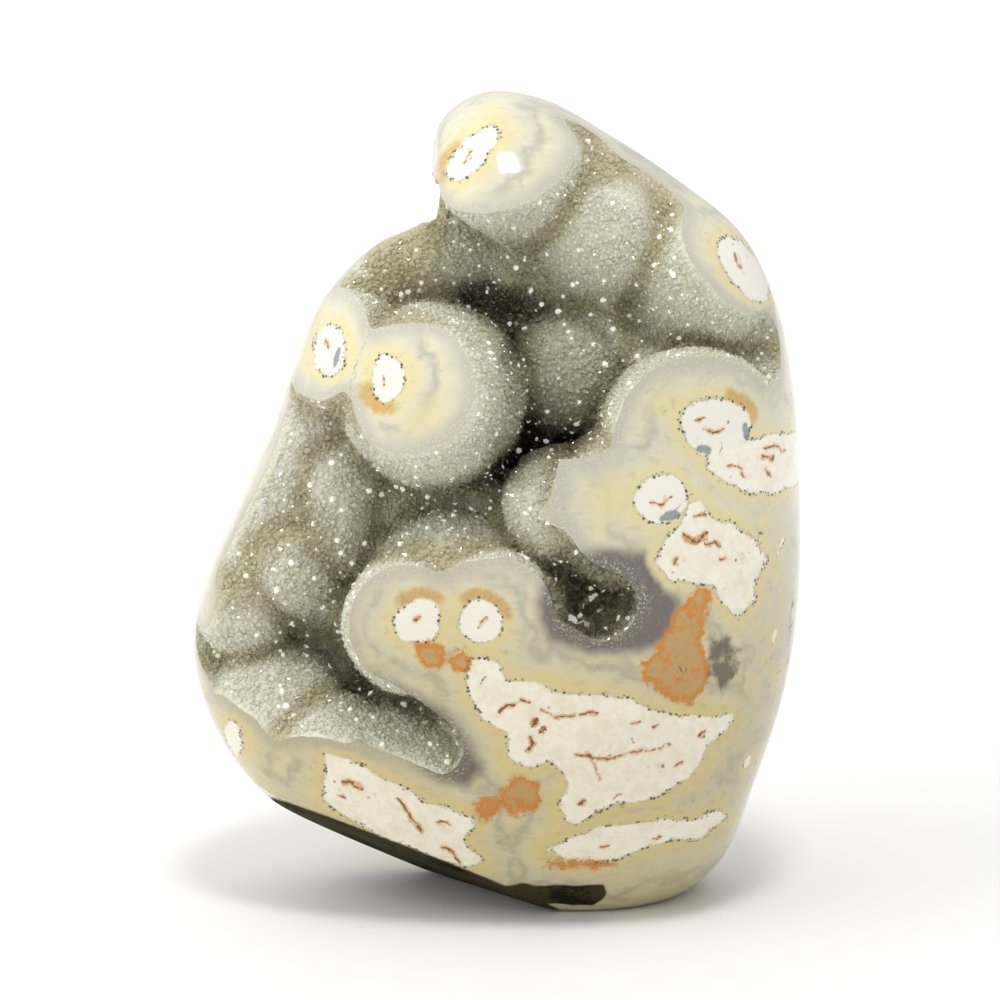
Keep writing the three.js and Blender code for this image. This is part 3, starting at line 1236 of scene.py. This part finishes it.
@dataclass(frozen=True)
class PolishedAgate:
    """Polished orbicular agate: white cores, dotted rings, cream and yellow layers, a grey rim."""

    eye_white: tuple = colour(244, 239, 226)
    white: tuple = colour(250, 245, 231)
    milk: tuple = colour(237, 229, 205)
    blush: tuple = colour(232, 210, 172)
    moss: tuple = colour(210, 200, 156)
    yellow: tuple = colour(230, 217, 166)
    cream: tuple = colour(226, 218, 184)
    pale: tuple = colour(217, 212, 190)
    grey: tuple = colour(192, 188, 170)
    sugar: tuple = colour(232, 228, 212)
    purple: tuple = colour(114, 105, 101)
    tan: tuple = colour(206, 160, 84)
    ochre: tuple = colour(214, 136, 0)
    ochre_heart: tuple = colour(202, 166, 104)
    halo: tuple = colour(206, 134, 36)
    vein_dark: tuple = colour(112, 66, 8)
    ring_green: tuple = colour(44, 52, 40)
    blue: tuple = colour(112, 126, 134)
    stone_grey: tuple = colour(84, 74, 54)
    olive: tuple = colour(62, 56, 30)
    olive_dark: tuple = colour(26, 20, 13)
    low_shade_tint: tuple = colour(228, 219, 194)

    def material(self) -> bpy.types.Material:
        """Builds the material.

        Returns:
            The material.
        """
        graph = Graph.of_material("polished_agate")
        place = graph.millimetres()
        core, rim, eye = graph.attribute("layers")
        ochre, purple, blue = graph.attribute("stains")
        glow, belly, under = graph.attribute("tints")
        arc, patch, _ = graph.attribute("arcs")
        broad = graph.noise(place, 5.0, 3)
        coarse = graph.noise(place, 2.2, 3)
        fine = graph.noise(place, 0.7, 3)
        tiny = graph.noise(place, 0.3, 2)
        island = (0.19 - graph.noise(place, 5.2, 2, 0.5)) * 15 + (1 - belly) * 9
        growth = (core + broad * 1.3).at_most(island) + coarse * 0.9 + fine * 0.45 + tiny * 0.3
        shade = self._layers(graph, growth + broad * growth.rise(0.8, 4.0) * 7.0)
        streaks = graph.noise(graph.stretched(place), 1.1, 4)
        shade = graph.mix(streaks.rise(0.02, 0.22) * growth.rise(0.4, 1.2) * 0.5, shade, self.sugar)
        shade = graph.mix(streaks.rise(-0.03, -0.2) * growth.rise(0.4, 1.2) * 0.45, shade, self.grey)
        shade = graph.mix(belly * growth.rise(0.4, 1.6) * 0.55, shade, self.pale)
        shade = graph.mix(glow * 0.8, shade, self.yellow)
        shade = self._rim(graph, rim + broad * 3.5 + coarse * 0.8, purple, growth, fine, tiny, shade)
        shade = graph.mix(growth.rise(0.3, -0.2), shade, self._heart(graph, growth, eye, coarse, fine))
        tanned = arc * growth.rise(0.05, 0.4) * (growth + fine).rise(2.3, 1.2)
        shade = graph.mix(tanned * (0.75 + tiny), shade, self.tan)
        ragged = (coarse * 1.3 + fine * 1.0 + tiny * 0.5) * ochre.rise(0.02, 0.25)
        shade = self._stains(graph, ochre + ragged, shade)
        shade = graph.mix((patch + coarse * 1.6 + fine * 0.9).rise(0.2, 1.0) * 0.85, shade, self.stone_grey)
        shade = self._dots(graph, place, growth, coarse, shade)
        shade = graph.mix((blue + fine * 0.9).rise(0.3, 0.9) * 0.8, shade, self.blue)
        shade = self._veins(graph, fine, tiny, shade)
        soot = graph.mix((broad + fine * 0.5).rise(-0.05, 0.2), self.olive, self.olive_dark)
        sooty = (under + fine * 0.25).rise(0.75, 0.45)
        # Painted shade: darker and warmer towards the bottom, most outside the white cores, for the lesser
        # light on the stone's lower part.
        low = graph.height(place).rise(78.0, 22.0)
        low_painted_shade = low * growth.rise(-0.2, 0.5) * 0.6 + low * 0.3
        shade = graph.mix(low_painted_shade, shade, graph.mix(1.0, shade, self.low_shade_tint, "MULTIPLY"))
        ripple = graph.noise(place, 14.0, 1)
        return graph.finish({
            "Base Color": shade,
            "Roughness": 0.1,
            "Specular IOR Level": 0.5,
            "Subsurface Weight": 0.15,
            "Subsurface Radius": (1.0, 0.9, 0.75),
            "Subsurface Scale": 0.9 * MM,
            "Coat Weight": 0.3,
            "Coat Roughness": 0.04,
            "Normal": graph.bump(ripple, 0.35),
        }, sooty, {"Base Color": soot, "Roughness": 0.9, "Specular IOR Level": 0.1})

    def _layers(self, graph: Graph, growth: Value) -> Value:
        """Colours the stone by its growth layers.

        Args:
            graph: The material's nodes.
            growth: The distance to the nearest white core, in millimetres.

        Returns:
            The colour.
        """
        return graph.ramp(growth, 14.0, (
            (0.0, self.moss),
            (0.4, self.yellow),
            (1.3, self.yellow),
            (2.1, self.cream),
            (3.4, self.pale),
            (4.6, self.grey),
            (6.2, self.cream),
            (8.5, self.pale),
            (11.0, self.grey),
        ))

    def _rim(
        self, graph: Graph, outward: Value, purple: Value, growth: Value,
        fine: Value, tiny: Value, shade: Value,
    ) -> Value:
        """Greys the agate towards the druze, and ends it in a sugary line.

        Args:
            graph: The material's nodes.
            outward: The distance to the druze, already uneven.
            purple: 1 where the grey is dark and purplish.
            growth: The distance to the nearest white core.
            fine: Fine noise.
            tiny: Finer noise.
            shade: The colour before.

        Returns:
            The colour after.
        """
        away = growth.rise(0.2, 1.6)
        shade = graph.mix(outward.rise(3.6, 1.4) * away * 0.7, shade, self.pale)
        shade = graph.mix(outward.rise(2.6, 0.3) * away * 0.85, shade, self.grey)
        deep = purple * growth.rise(0.5, 2.2) * outward.rise(8.5, 4.0)
        shade = graph.mix(deep * (1.0 + fine * 0.5), shade, self.purple)
        speckle = tiny.rise(0.03, 0.2) * outward.rise(2.2, 0.3) * 0.7
        return graph.mix(speckle, shade, self.sugar)

    def _heart(self, graph: Graph, growth: Value, eye: Value, coarse: Value, fine: Value) -> Value:
        """Colours the white cores: clean in an eye, and cream with blush clouds in an area.

        Args:
            graph: The material's nodes.
            growth: The distance to the nearest white core, less than 0 inside it.
            eye: 1 where that core is an eye.
            coarse: Coarse noise.
            fine: Fine noise.

        Returns:
            The cores' colour.
        """
        cloudy = graph.mix((coarse + fine * 0.5).rise(-0.25, 0.2), self.milk, self.white)
        cloudy = graph.mix(growth.rise(-0.6, -3.0) * coarse.rise(0.0, 0.2) * 0.45, cloudy, self.blush)
        return graph.mix(eye, cloudy, self.eye_white)

    def _stains(self, graph: Graph, stain: Value, shade: Value) -> Value:
        """Lays on the ochre stains, orange at their edges and paler in the middle.

        Args:
            graph: The material's nodes.
            stain: 1 in a stain, already uneven.
            shade: The colour before.

        Returns:
            The colour after.
        """
        inner = graph.mix(stain.rise(0.72, 1.02), self.ochre, self.ochre_heart)
        shade = graph.mix(stain.rise(0.15, 0.5) * 0.5, shade, self.tan)
        return graph.mix(stain.rise(0.4, 0.6) * 0.92, shade, inner)

    def _dots(self, graph: Graph, place: Value, growth: Value, coarse: Value, shade: Value) -> Value:
        """Adds the dark green dots that ring the white cores along a faint line, and specks inside them.

        Args:
            graph: The material's nodes.
            place: The coordinates in millimetres.
            growth: The distance to the nearest white core, less than 0 inside it.
            coarse: Coarse noise.
            shade: The colour before.

        Returns:
            The colour after.
        """
        dots = graph.cells(place, 0.62).rise(0.45, 0.3)
        patchy = graph.noise(place, 2.4, 2).rise(-0.14, 0.04)
        ring = abs(growth - 0.1).rise(0.42, 0.2)
        line = abs(growth - 0.1).rise(0.16, 0.02) * patchy * 0.25
        shade = graph.mix((dots * ring * patchy * 0.92).at_least(line), shade, self.ring_green)
        specks = graph.cells(place, 2.4).rise(0.16, 0.05) * growth.rise(-0.4, -0.9)
        return graph.mix(specks * coarse.rise(-0.05, 0.1) * 0.85, shade, self.vein_dark)

    def _veins(self, graph: Graph, fine: Value, tiny: Value, shade: Value) -> Value:
        """Draws the dark veins with their orange haloes, and the plain dark cracks.

        Args:
            graph: The material's nodes.
            fine: Fine noise.
            tiny: Finer noise.
            shade: The colour before.

        Returns:
            The colour after.
        """
        for name, haze in (("red_veins", 0.9), ("dark_veins", 0.1)):
            across, width, distance = graph.attribute(name)
            ragged = width * (0.3 + fine * 1.8 + tiny * 1.0)
            line = (ragged - abs(across)).rise(-0.06, 0.06) * (width + 0.1 - distance).rise(-0.05, 0.1)
            halo = (width + 0.15 + fine * 0.9 - distance).rise(-0.15, 0.4)
            shade = graph.mix(halo * haze, shade, self.halo)
            shade = graph.mix(line * 0.95, shade, self.vein_dark)
        return shade


def druze_shade(graph: Graph, place: Value, lightness: float) -> Value:
    """Colours the druze: pale on the lobes' fronts, darker with depth as painted shade, and brown in creases,
    partly as a stain and partly as painted shade.

    Args:
        graph: The material's nodes.
        place: The coordinates in millimetres.
        lightness: 1 for the ground, and more for the crystals on it.

    Returns:
        The colour.
    """
    depth, crease, _ = graph.attribute("druze")
    cloud = graph.noise(place, 9.0, 3)
    mossy = graph.noise(place, 16.0, 2)
    speck = graph.noise(place, 0.9, 2)

    def tone(red: float, green: float, blue: float) -> tuple[float, float, float, float]:
        """Gives a colour of the druze at this lightness."""
        return colour(*(min(255, round(part * lightness)) for part in (red, green, blue)))

    # Painted shade: the druze darkens with its depth under the skin, as the light fails deeper in the hollow.
    shade = graph.ramp(depth + cloud * 5.0, 40.0, (
        (0.0, tone(234, 230, 209)),
        (5.0, tone(222, 218, 196)),
        (10.0, tone(198, 194, 172)),
        (15.0, tone(168, 163, 140)),
        (22.0, tone(126, 119, 96)),
        (32.0, tone(76, 66, 48)),
    ))
    greened = graph.mix(1.0, shade, colour(236, 246, 222), "MULTIPLY")
    shade = graph.mix(mossy.rise(-0.1, 0.15) * 0.35, shade, greened)
    # Creases, flanks and the pocket turn browner and darker: partly an iron stain, partly painted shade.
    crease_stain_and_shade = graph.mix(1.0, shade, colour(204, 190, 152), "MULTIPLY")
    shade = graph.mix((crease + cloud * 0.9 - 0.2).rise(0.1, 0.85) * 0.65, shade, crease_stain_and_shade)
    return graph.mix(speck.rise(0.0, 0.35) * 0.3, shade, tone(240, 238, 226))


@dataclass(frozen=True)
class DruzyGround:
    """The sugary quartz under and between the crystals."""

    lightness: float = 0.97
    gap: tuple = colour(78, 64, 42)

    def material(self) -> bpy.types.Material:
        """Builds the material.

        Returns:
            The material.
        """
        graph = Graph.of_material("druzy_ground")
        place = graph.millimetres()
        grain = graph.cells(place, 0.6)
        shade = druze_shade(graph, place, self.lightness)
        # Painted shade: the edges between the grains are darkened a little towards the gap colour, as if
        # shadowed between them.
        shade = graph.mix(grain.rise(0.3, 0.65) * 0.12, shade, self.gap)
        return graph.finish({
            "Base Color": shade,
            "Roughness": 0.3,
            "Subsurface Weight": 0.15,
            "Subsurface Radius": (1.0, 0.9, 0.7),
            "Subsurface Scale": 0.8 * MM,
            "Normal": graph.bump(grain, 0.3),
        })


@dataclass(frozen=True)
class ClearQuartz:
    """The small quartz points themselves; a few of them are painted near white and glow faintly, as painted
    glints.
    """

    lightness: float = 1.03
    painted_glint: tuple = colour(255, 252, 242)
    painted_glint_glow: float = 0.3

    def material(self) -> bpy.types.Material:
        """Builds the material.

        Returns:
            The material.
        """
        graph = Graph.of_material("quartz_points")
        place = graph.millimetres()
        _, _, luck = graph.attribute("druze")
        shade = druze_shade(graph, place, self.lightness)
        darker = graph.mix(1.0, shade, shade, "MULTIPLY")
        shade = graph.mix(luck.rise(0.4, 0.0) * 0.28, shade, darker)
        # Painted glints: a few per cent of the crystals, picked by their luck, are painted near white and
        # given a faint glow, standing in for the lamp's reflections in their facets.
        painted_glint_mask = luck.rise(0.965, 0.972)
        shade = graph.mix(painted_glint_mask, shade, self.painted_glint)
        return graph.finish({
            "Base Color": shade,
            "Roughness": 0.08,
            "IOR": 1.54,
            "Transmission Weight": 0.2,
            "Specular IOR Level": 0.7,
            "Subsurface Weight": 0.3,
            "Subsurface Radius": (1.0, 0.95, 0.8),
            "Subsurface Scale": 0.8 * MM,
            "Emission Color": graph.mix(painted_glint_mask, (0.0, 0.0, 0.0, 1.0), self.painted_glint),
            "Emission Strength": self.painted_glint_glow,
        })


@dataclass
class AgateStone:
    """The stone: the polished skin with the druzy hollow open in it."""

    name: str = "agate_stone"
    merged_within: float = 1e-4
    least_front: float = 5.0
    open_beyond: float = 1.0
    filled_within: float = -0.5

    def build(self) -> bpy.types.Object:
        """Makes the stone with its pattern and both materials.

        Returns:
            The stone, in metres.
        """
        stone = self._pebble()
        space = Hollow().build()
        materials = (PolishedAgate().material(), DruzyGround().material())
        for obj, surface in ((stone, Surface.POLISHED), (space, Surface.DRUZY)):
            obj.data.materials.clear()
            for material in materials:
                obj.data.materials.append(material)
            indices = np.full(len(obj.data.polygons), surface.value, np.int32)
            obj.data.polygons.foreach_set("material_index", indices)
        cut(stone, space)
        self._drop_scraps(stone)
        mesh = stone.data
        Markings().keep_on(mesh)
        self._keep_druze(mesh)
        self._shade(mesh)
        mesh.transform(Matrix.Scale(MM, 4))
        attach(stone, "root")
        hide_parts("agate_body")
        return stone

    def _pebble(self) -> bpy.types.Object:
        """Makes the whole skin as a closed form, finest where its pattern is seen.

        Returns:
            The skin's object, in millimetres.
        """
        bm = bmesh.new()
        bmesh.ops.create_icosphere(bm, subdivisions=SKIN.subdivisions, radius=1.0)
        middles = np.array([face.calc_center_median().normalized() for face in bm.faces])
        shown = self._shows_pattern(SKIN.reshape(middles))
        finer = {edge for face, kept in zip(bm.faces, shown) if kept for edge in face.edges}
        bmesh.ops.subdivide_edges(bm, edges=list(finer), cuts=1, use_grid_fill=True)
        bmesh.ops.triangulate(bm, faces=bm.faces)
        mesh = bpy.data.meshes.new(self.name)
        bm.to_mesh(mesh)
        bm.free()
        directions = vertices_of(mesh)
        directions /= np.linalg.norm(directions, axis=1)[:, None]
        place_vertices(mesh, SKIN.reshape(directions))
        bm = bmesh.new()
        bm.from_mesh(mesh)
        bmesh.ops.recalc_face_normals(bm, faces=bm.faces)
        bm.to_mesh(mesh)
        bm.free()
        return new_object(self.name, mesh)

    def _shows_pattern(self, points: np.ndarray) -> np.ndarray:
        """Says which places on the skin are polished and face the viewer.

        Args:
            points: The places as rows.

        Returns:
            True or False for each.
        """
        _, up, out = PLANE.read(points)
        opened = np.max([ball.depth_under(points) for ball in HOLLOW], axis=0) > self.open_beyond
        filled = np.max([lobe.depth_under(points) for lobe in LOBES.values()], axis=0) > self.filled_within
        return (out - PLANE.lean_at(up) > self.least_front) & (~opened | filled)

    def _drop_scraps(self, stone: bpy.types.Object) -> None:
        """Keeps the largest connected body of the mesh.

        Args:
            stone: The stone after the cut.
        """
        bm = bmesh.new()
        bm.from_mesh(stone.data)
        bmesh.ops.remove_doubles(bm, verts=bm.verts, dist=self.merged_within)
        waiting = set(bm.verts)
        bodies = []
        while waiting:
            body = []
            front = [waiting.pop()]
            while front:
                vert = front.pop()
                body.append(vert)
                for edge in vert.link_edges:
                    other = edge.other_vert(vert)
                    if other in waiting:
                        waiting.discard(other)
                        front.append(other)
            bodies.append(body)
        bodies.sort(key=len)
        for body in bodies[:-1]:
            bmesh.ops.delete(bm, geom=body, context="VERTS")
        bm.to_mesh(stone.data)
        bm.free()

    @staticmethod
    def _keep_druze(mesh: bpy.types.Mesh) -> None:
        """Stores how deep in the hollow and how far into a crease each vertex is, for the druze's painted
        shade and stain.
        """
        points = vertices_of(mesh)
        keep_columns(mesh, "druze", *druze_at(points), np.zeros(len(points)))

    @staticmethod
    def _shade(mesh: bpy.types.Mesh) -> None:
        """Shades smoothly, with a sharp line where the polish meets the druze.

        Args:
            mesh: The stone's mesh.
        """
        mesh.polygons.foreach_set("use_smooth", np.ones(len(mesh.polygons), bool))
        bm = bmesh.new()
        bm.from_mesh(mesh)
        for edge in bm.edges:
            faces = edge.link_faces
            edge.smooth = not (len(faces) == 2 and faces[0].material_index != faces[1].material_index)
        bm.to_mesh(mesh)
        bm.free()


STONE_HALF_DEPTH = 34.0
SHADOW_GAP_DARKENING = 1.3
SHADOW_GAP_FADE = (-12.0, 10.0)
CREASE_FADE = (0.3, 4.5)
FLANK_FADE = (0.5, 3.0)
FLANK_STAIN_AND_SHADE_SHARE = 0.7
POCKET_FADE = (0.8, 1.15)


def druze_at(points: np.ndarray) -> tuple[np.ndarray, np.ndarray]:
    """Gives how deep in the hollow each point is, in millimetres, which sets the druze's painted shade, and
    how creased its place is.

    Args:
        points: Places on the druze.

    Returns:
        The depth, counted larger where the photograph shows a dark gap so that the painted shade there is
        darker, and the crease from 0 to 1, which also takes in the flanks and the pocket for their brown
        stain and painted shade.
    """
    depth = (1 - SKIN.level(points)) * STONE_HALF_DEPTH
    pixels = PLANE.pixels(points)
    gap = np.min([shape.distance(pixels) for shape in DEEP_SHADOWS], axis=0)
    # Painted shade: the listed dark gaps count deeper, so that the druze there is painted darker.
    depth = depth * (1 + SHADOW_GAP_DARKENING * (1 - smoothstep(gap, *SHADOW_GAP_FADE)))
    outside = np.sort([-lobe.depth_under(points) for lobe in LOBES.values()], axis=0)
    crease = 1 - smoothstep(outside[1] - np.maximum(outside[0], 0), *CREASE_FADE)
    # Flanks off the lobes are browned and darkened: partly stain, partly painted shade.
    flank = smoothstep(outside[0], *FLANK_FADE) * FLANK_STAIN_AND_SHADE_SHARE
    away = np.linalg.norm(pixels - POCKET_AT, axis=1) / POCKET_REACH
    pocket = 1 - smoothstep(away, *POCKET_FADE)
    # Painted shade: in the pocket the depth is held in a middle span, so the pocket is an even mid-dark
    # brown.
    depth = depth + (np.clip(depth, *POCKET_SHADE_DEPTHS) - depth) * pocket
    return depth, np.maximum(np.maximum(crease, flank), pocket)


@dataclass
class QuartzCrystals:
    """Thousands of small six-sided points seated on the druze."""

    spacing: float = 0.5
    smallest: float = 0.22
    largest: float = 0.5
    most_per_piece: int = 8500
    tallest: float = 1.6
    skin_reach: float = 27.0
    seat_room: float = 1.05
    tip_room: float = 0.3
    lean: float = 0.38
    fineness: float = 2.2
    pocket_growth: float = 1.3
    pocket_core: float = 0.6
    stretches: tuple[float, float] = (0.7, 1.4)
    sunk: float = 0.42
    lower_end: float = 0.9
    prism_length: float = 1.2
    point_length: float = 0.85
    nearly_upright: float = 0.9

    def build(self, stone: bpy.types.Object) -> list[bpy.types.Object]:
        """Seats the crystals on the stone.

        Args:
            stone: The finished stone, in metres.

        Returns:
            The pieces, none of them over the limit on triangles.
        """
        chance = np.random.default_rng(SEED + 1)
        places, normals = self._seats(stone.data, chance)
        sizes = self._sizes(places, chance)
        room_at_seat = (1 - SKIN.level(places)) * self.skin_reach
        room_at_tip = (1 - SKIN.level(places + normals * sizes[:, None] * self.tallest)) * self.skin_reach
        inside = (room_at_seat > sizes * self.seat_room) & (room_at_tip > sizes * self.tip_room)
        places, normals, sizes = places[inside], normals[inside], sizes[inside]
        material = ClearQuartz().material()
        count = math.ceil(len(places) / self.most_per_piece)
        order = np.argsort(places[:, 2], kind="stable")
        pieces = []
        for i, share in enumerate(np.array_split(order, count)):
            piece = self._piece(f"quartz_points_{i + 1}", places[share], normals[share], sizes[share], chance)
            piece.data.materials.append(material)
            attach(piece, "root")
            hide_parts("quartz_crust")
            pieces.append(piece)
        log.info("seated %d crystals", len(places))
        return pieces

    def _seats(self, mesh: bpy.types.Mesh, chance: np.random.Generator) -> tuple[np.ndarray, np.ndarray]:
        """Picks places spread evenly over the druzy faces.

        Args:
            mesh: The stone's mesh, in metres.
            chance: The seeded draw.

        Returns:
            The places in millimetres, and the way each crystal leans.
        """
        mesh.calc_loop_triangles()
        triangles = np.array([
            triangle.vertices for triangle in mesh.loop_triangles
            if triangle.material_index == Surface.DRUZY.value
        ])
        corners = vertices_of(mesh)[triangles] / MM
        cross = np.cross(corners[:, 1] - corners[:, 0], corners[:, 2] - corners[:, 0])
        areas = np.linalg.norm(cross, axis=1) / 2
        total = int(areas.sum() / self.spacing**2)
        log.info("the druze covers %.0f mm2", areas.sum())
        chosen = chance.choice(len(triangles), total, p=areas / areas.sum())
        first, second = np.sqrt(chance.random(total)), chance.random(total)
        weights = np.stack([1 - first, first * (1 - second), first * second], -1)
        places = np.einsum("ij,ijk->ik", weights, corners[chosen])
        normals = cross[chosen] / (2 * areas[chosen])[:, None]
        normals = normals + chance.normal(scale=self.lean, size=(total, 3))
        return places, normals / np.linalg.norm(normals, axis=1)[:, None]

    def _sizes(self, places: np.ndarray, chance: np.random.Generator) -> np.ndarray:
        """Gives each crystal's radius: fine nearly everywhere, and coarse in the pocket.

        Args:
            places: The crystals' places.
            chance: The seeded draw.

        Returns:
            The radii in millimetres.
        """
        share = chance.random(len(places)) ** self.fineness
        sizes = self.smallest + (self.largest - self.smallest) * share
        away = np.linalg.norm(PLANE.pixels(places) - POCKET_AT, axis=1) / POCKET_REACH
        return sizes * (1 + self.pocket_growth * (1 - smoothstep(away, self.pocket_core, 1.0)))

    def _template(self) -> tuple[np.ndarray, np.ndarray]:
        """Makes one crystal of radius 1 that stands along +Z: a short prism with a pointed end.

        Returns:
            Its vertices, and its triangles by vertex number.
        """
        bm = bmesh.new()
        bmesh.ops.create_cone(
            bm, cap_ends=True, segments=6, radius1=self.lower_end, radius2=1.0, depth=self.prism_length
        )
        bmesh.ops.translate(bm, verts=bm.verts, vec=(0, 0, -self.sunk))
        top = max(bm.faces, key=lambda face: face.calc_center_median().z)
        bmesh.ops.poke(bm, faces=[top], offset=self.point_length)
        bottom = min(bm.faces, key=lambda face: face.calc_center_median().z)
        bmesh.ops.triangulate(bm, faces=[face for face in bm.faces if face is not bottom])
        bmesh.ops.triangulate(bm, faces=[face for face in bm.faces if len(face.verts) > 3])
        bm.verts.ensure_lookup_table()
        bm.verts.index_update()
        verts = np.array([vert.co for vert in bm.verts])
        faces = np.array([[vert.index for vert in face.verts] for face in bm.faces])
        bm.free()
        return verts, faces

    def _piece(
        self, name: str, places: np.ndarray, normals: np.ndarray, sizes: np.ndarray,
        chance: np.random.Generator,
    ) -> bpy.types.Object:
        """Joins many crystals in one mesh.

        Args:
            name: The piece's name.
            places: Where each crystal sits.
            normals: The way each one points.
            sizes: Their radii.
            chance: The seeded draw.

        Returns:
            The piece, in metres.
        """
        verts, faces = self._template()
        leaning = np.abs(normals[:, 2:]) < self.nearly_upright
        helper = np.where(leaning, [[0.0, 0.0, 1.0]], [[1.0, 0.0, 0.0]])
        side = np.cross(normals, helper)
        side /= np.linalg.norm(side, axis=1)[:, None]
        other = np.cross(normals, side)
        turn = chance.uniform(0, math.tau, (len(places), 1))
        first = side * np.cos(turn) + other * np.sin(turn)
        second = np.cross(normals, first)
        stretch = chance.uniform(*self.stretches, (len(places), 1, 1))
        grown = (
            verts[None, :, 0:1] * first[:, None] + verts[None, :, 1:2] * second[:, None]
            + verts[None, :, 2:3] * normals[:, None] * stretch
        )
        points = places[:, None] + grown * sizes[:, None, None]
        corners = faces[None] + (np.arange(len(places)) * len(verts))[:, None, None]
        mesh = bpy.data.meshes.new(name)
        mesh.from_pydata((points.reshape(-1, 3) * MM).tolist(), [], corners.reshape(-1, 3).tolist())
        kept = (*druze_at(places), chance.random(len(places)))
        keep_columns(mesh, "druze", *(np.repeat(column, len(verts)) for column in kept))
        mesh.update()
        return new_object(name, mesh)


@dataclass
class Studio:
    """The photograph's view, a pale floor that glows away from the stone, and soft light from above."""

    floor_size: float = 9.0
    front_light: float = 0.68
    floor_white: tuple[float, float, float, float] = (0.9, 0.9, 0.9, 1.0)
    floor_glow: float = 0.3
    glow_fade: tuple[float, float] = (90.0, 420.0)
    right_light: float = 0.7
    sensor_width: float = 36.0
    nearest_seen: float = 0.01
    aimed_at: tuple[float, float, float] = (0.0, 0.0, 0.055)

    def build(self) -> None:
        """Adds the camera, the floor and the lights."""
        self._camera()
        self._floor()
        self._world()
        self._light("key", place=(0.06, -0.3, 1.05), size=0.2, power=3.6)
        self._light("fill", place=(-1.0, -0.35, 0.75), size=0.8, power=4.0, glossy=False)

    def _camera(self) -> None:
        """Puts the camera where the photograph was taken from."""
        data = bpy.data.cameras.new("camera")
        camera = new_object("camera", data)
        eye = (PLANE.eye_right, PLANE.eye_up, PLANE.eye_distance)
        camera.location = PLANE.place(*(np.float64(value) for value in eye)) * MM
        camera.rotation_euler = (math.pi / 2 - PLANE.looking_down, 0, 0)
        seen_width = PLANE.picture_width / PLANE.pixels_per_mm
        data.sensor_width = self.sensor_width
        data.lens = data.sensor_width * PLANE.eye_distance / seen_width
        data.clip_start = self.nearest_seen
        bpy.context.scene.camera = camera

    def _floor(self) -> None:
        """Lays a pale floor under the stone, which glows more the further it is from the stone."""
        bm = bmesh.new()
        bmesh.ops.create_grid(bm, x_segments=1, y_segments=1, size=self.floor_size / 2)
        mesh = bpy.data.meshes.new("floor")
        bm.to_mesh(mesh)
        bm.free()
        floor = new_object("floor", mesh)
        graph = Graph.of_material("pale_floor")
        place = graph.millimetres()
        away = graph.node("ShaderNodeVectorMath", {"operation": "LENGTH"}, {0: place}, "Value")
        glow = graph.mix(away.rise(*self.glow_fade), (0.0, 0.0, 0.0, 1.0), self.floor_white)
        mesh.materials.append(graph.finish({
            "Base Color": self.floor_white,
            "Roughness": 0.6,
            "Emission Color": glow,
            "Emission Strength": self.floor_glow,
        }))

    def _world(self) -> None:
        """Lights the scene from all round, and less from the viewer's side and from the right."""
        world = bpy.data.worlds.new("studio")
        bpy.context.scene.world = world
        graph = Graph(world)
        direction = graph.node("ShaderNodeTexCoord", {}, {}, "Generated")
        strength = 1.0
        for axis, *fade in (
            ("Y", -0.9, 0.1, self.front_light, 1.0),
            ("X", -0.8, 0.9, 1.0, self.right_light),
            ("Z", -0.1, 0.9, 0.8, 1.1),
        ):
            part = graph.node("ShaderNodeSeparateXYZ", {}, {0: direction}, axis)
            strength = part.between(*fade) * strength
        white = (1.0, 1.0, 1.0, 1.0)
        light = graph.node("ShaderNodeBackground", {}, {"Color": white, "Strength": strength}, "Background")
        graph.node("ShaderNodeOutputWorld", {}, {"Surface": light}, None)
        bpy.context.scene.view_settings.view_transform = "Standard"

    def _light(
        self, name: str, place: tuple[float, float, float], size: float, power: float, glossy: bool = True
    ) -> None:
        """Adds a soft square light that faces the stone.

        Args:
            name: The light's name.
            place: Where it hangs, in metres.
            size: Its side, in metres.
            power: Its strength.
            glossy: Whether the polish mirrors it.
        """
        data = bpy.data.lights.new(name, "AREA")
        data.size = size
        data.energy = power
        light = new_object(name, data)
        light.visible_glossy = glossy
        light.location = place
        towards = Vector(self.aimed_at) - Vector(place)
        light.rotation_euler = towards.to_track_quat("-Z", "Y").to_euler()


def main() -> None:
    """Builds the stone, its crystals and the studio."""
    logging.basicConfig(level=logging.INFO, format="%(name)s: %(message)s")
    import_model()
    Studio().build()
    stone = AgateStone().build()
    log.info("%s: %d triangles", stone.name, sum(len(face.vertices) - 2 for face in stone.data.polygons))
    for piece in QuartzCrystals().build(stone):
        log.info("%s: %d triangles", piece.name, len(piece.data.polygons))


if __name__ == "__main__":
    main()
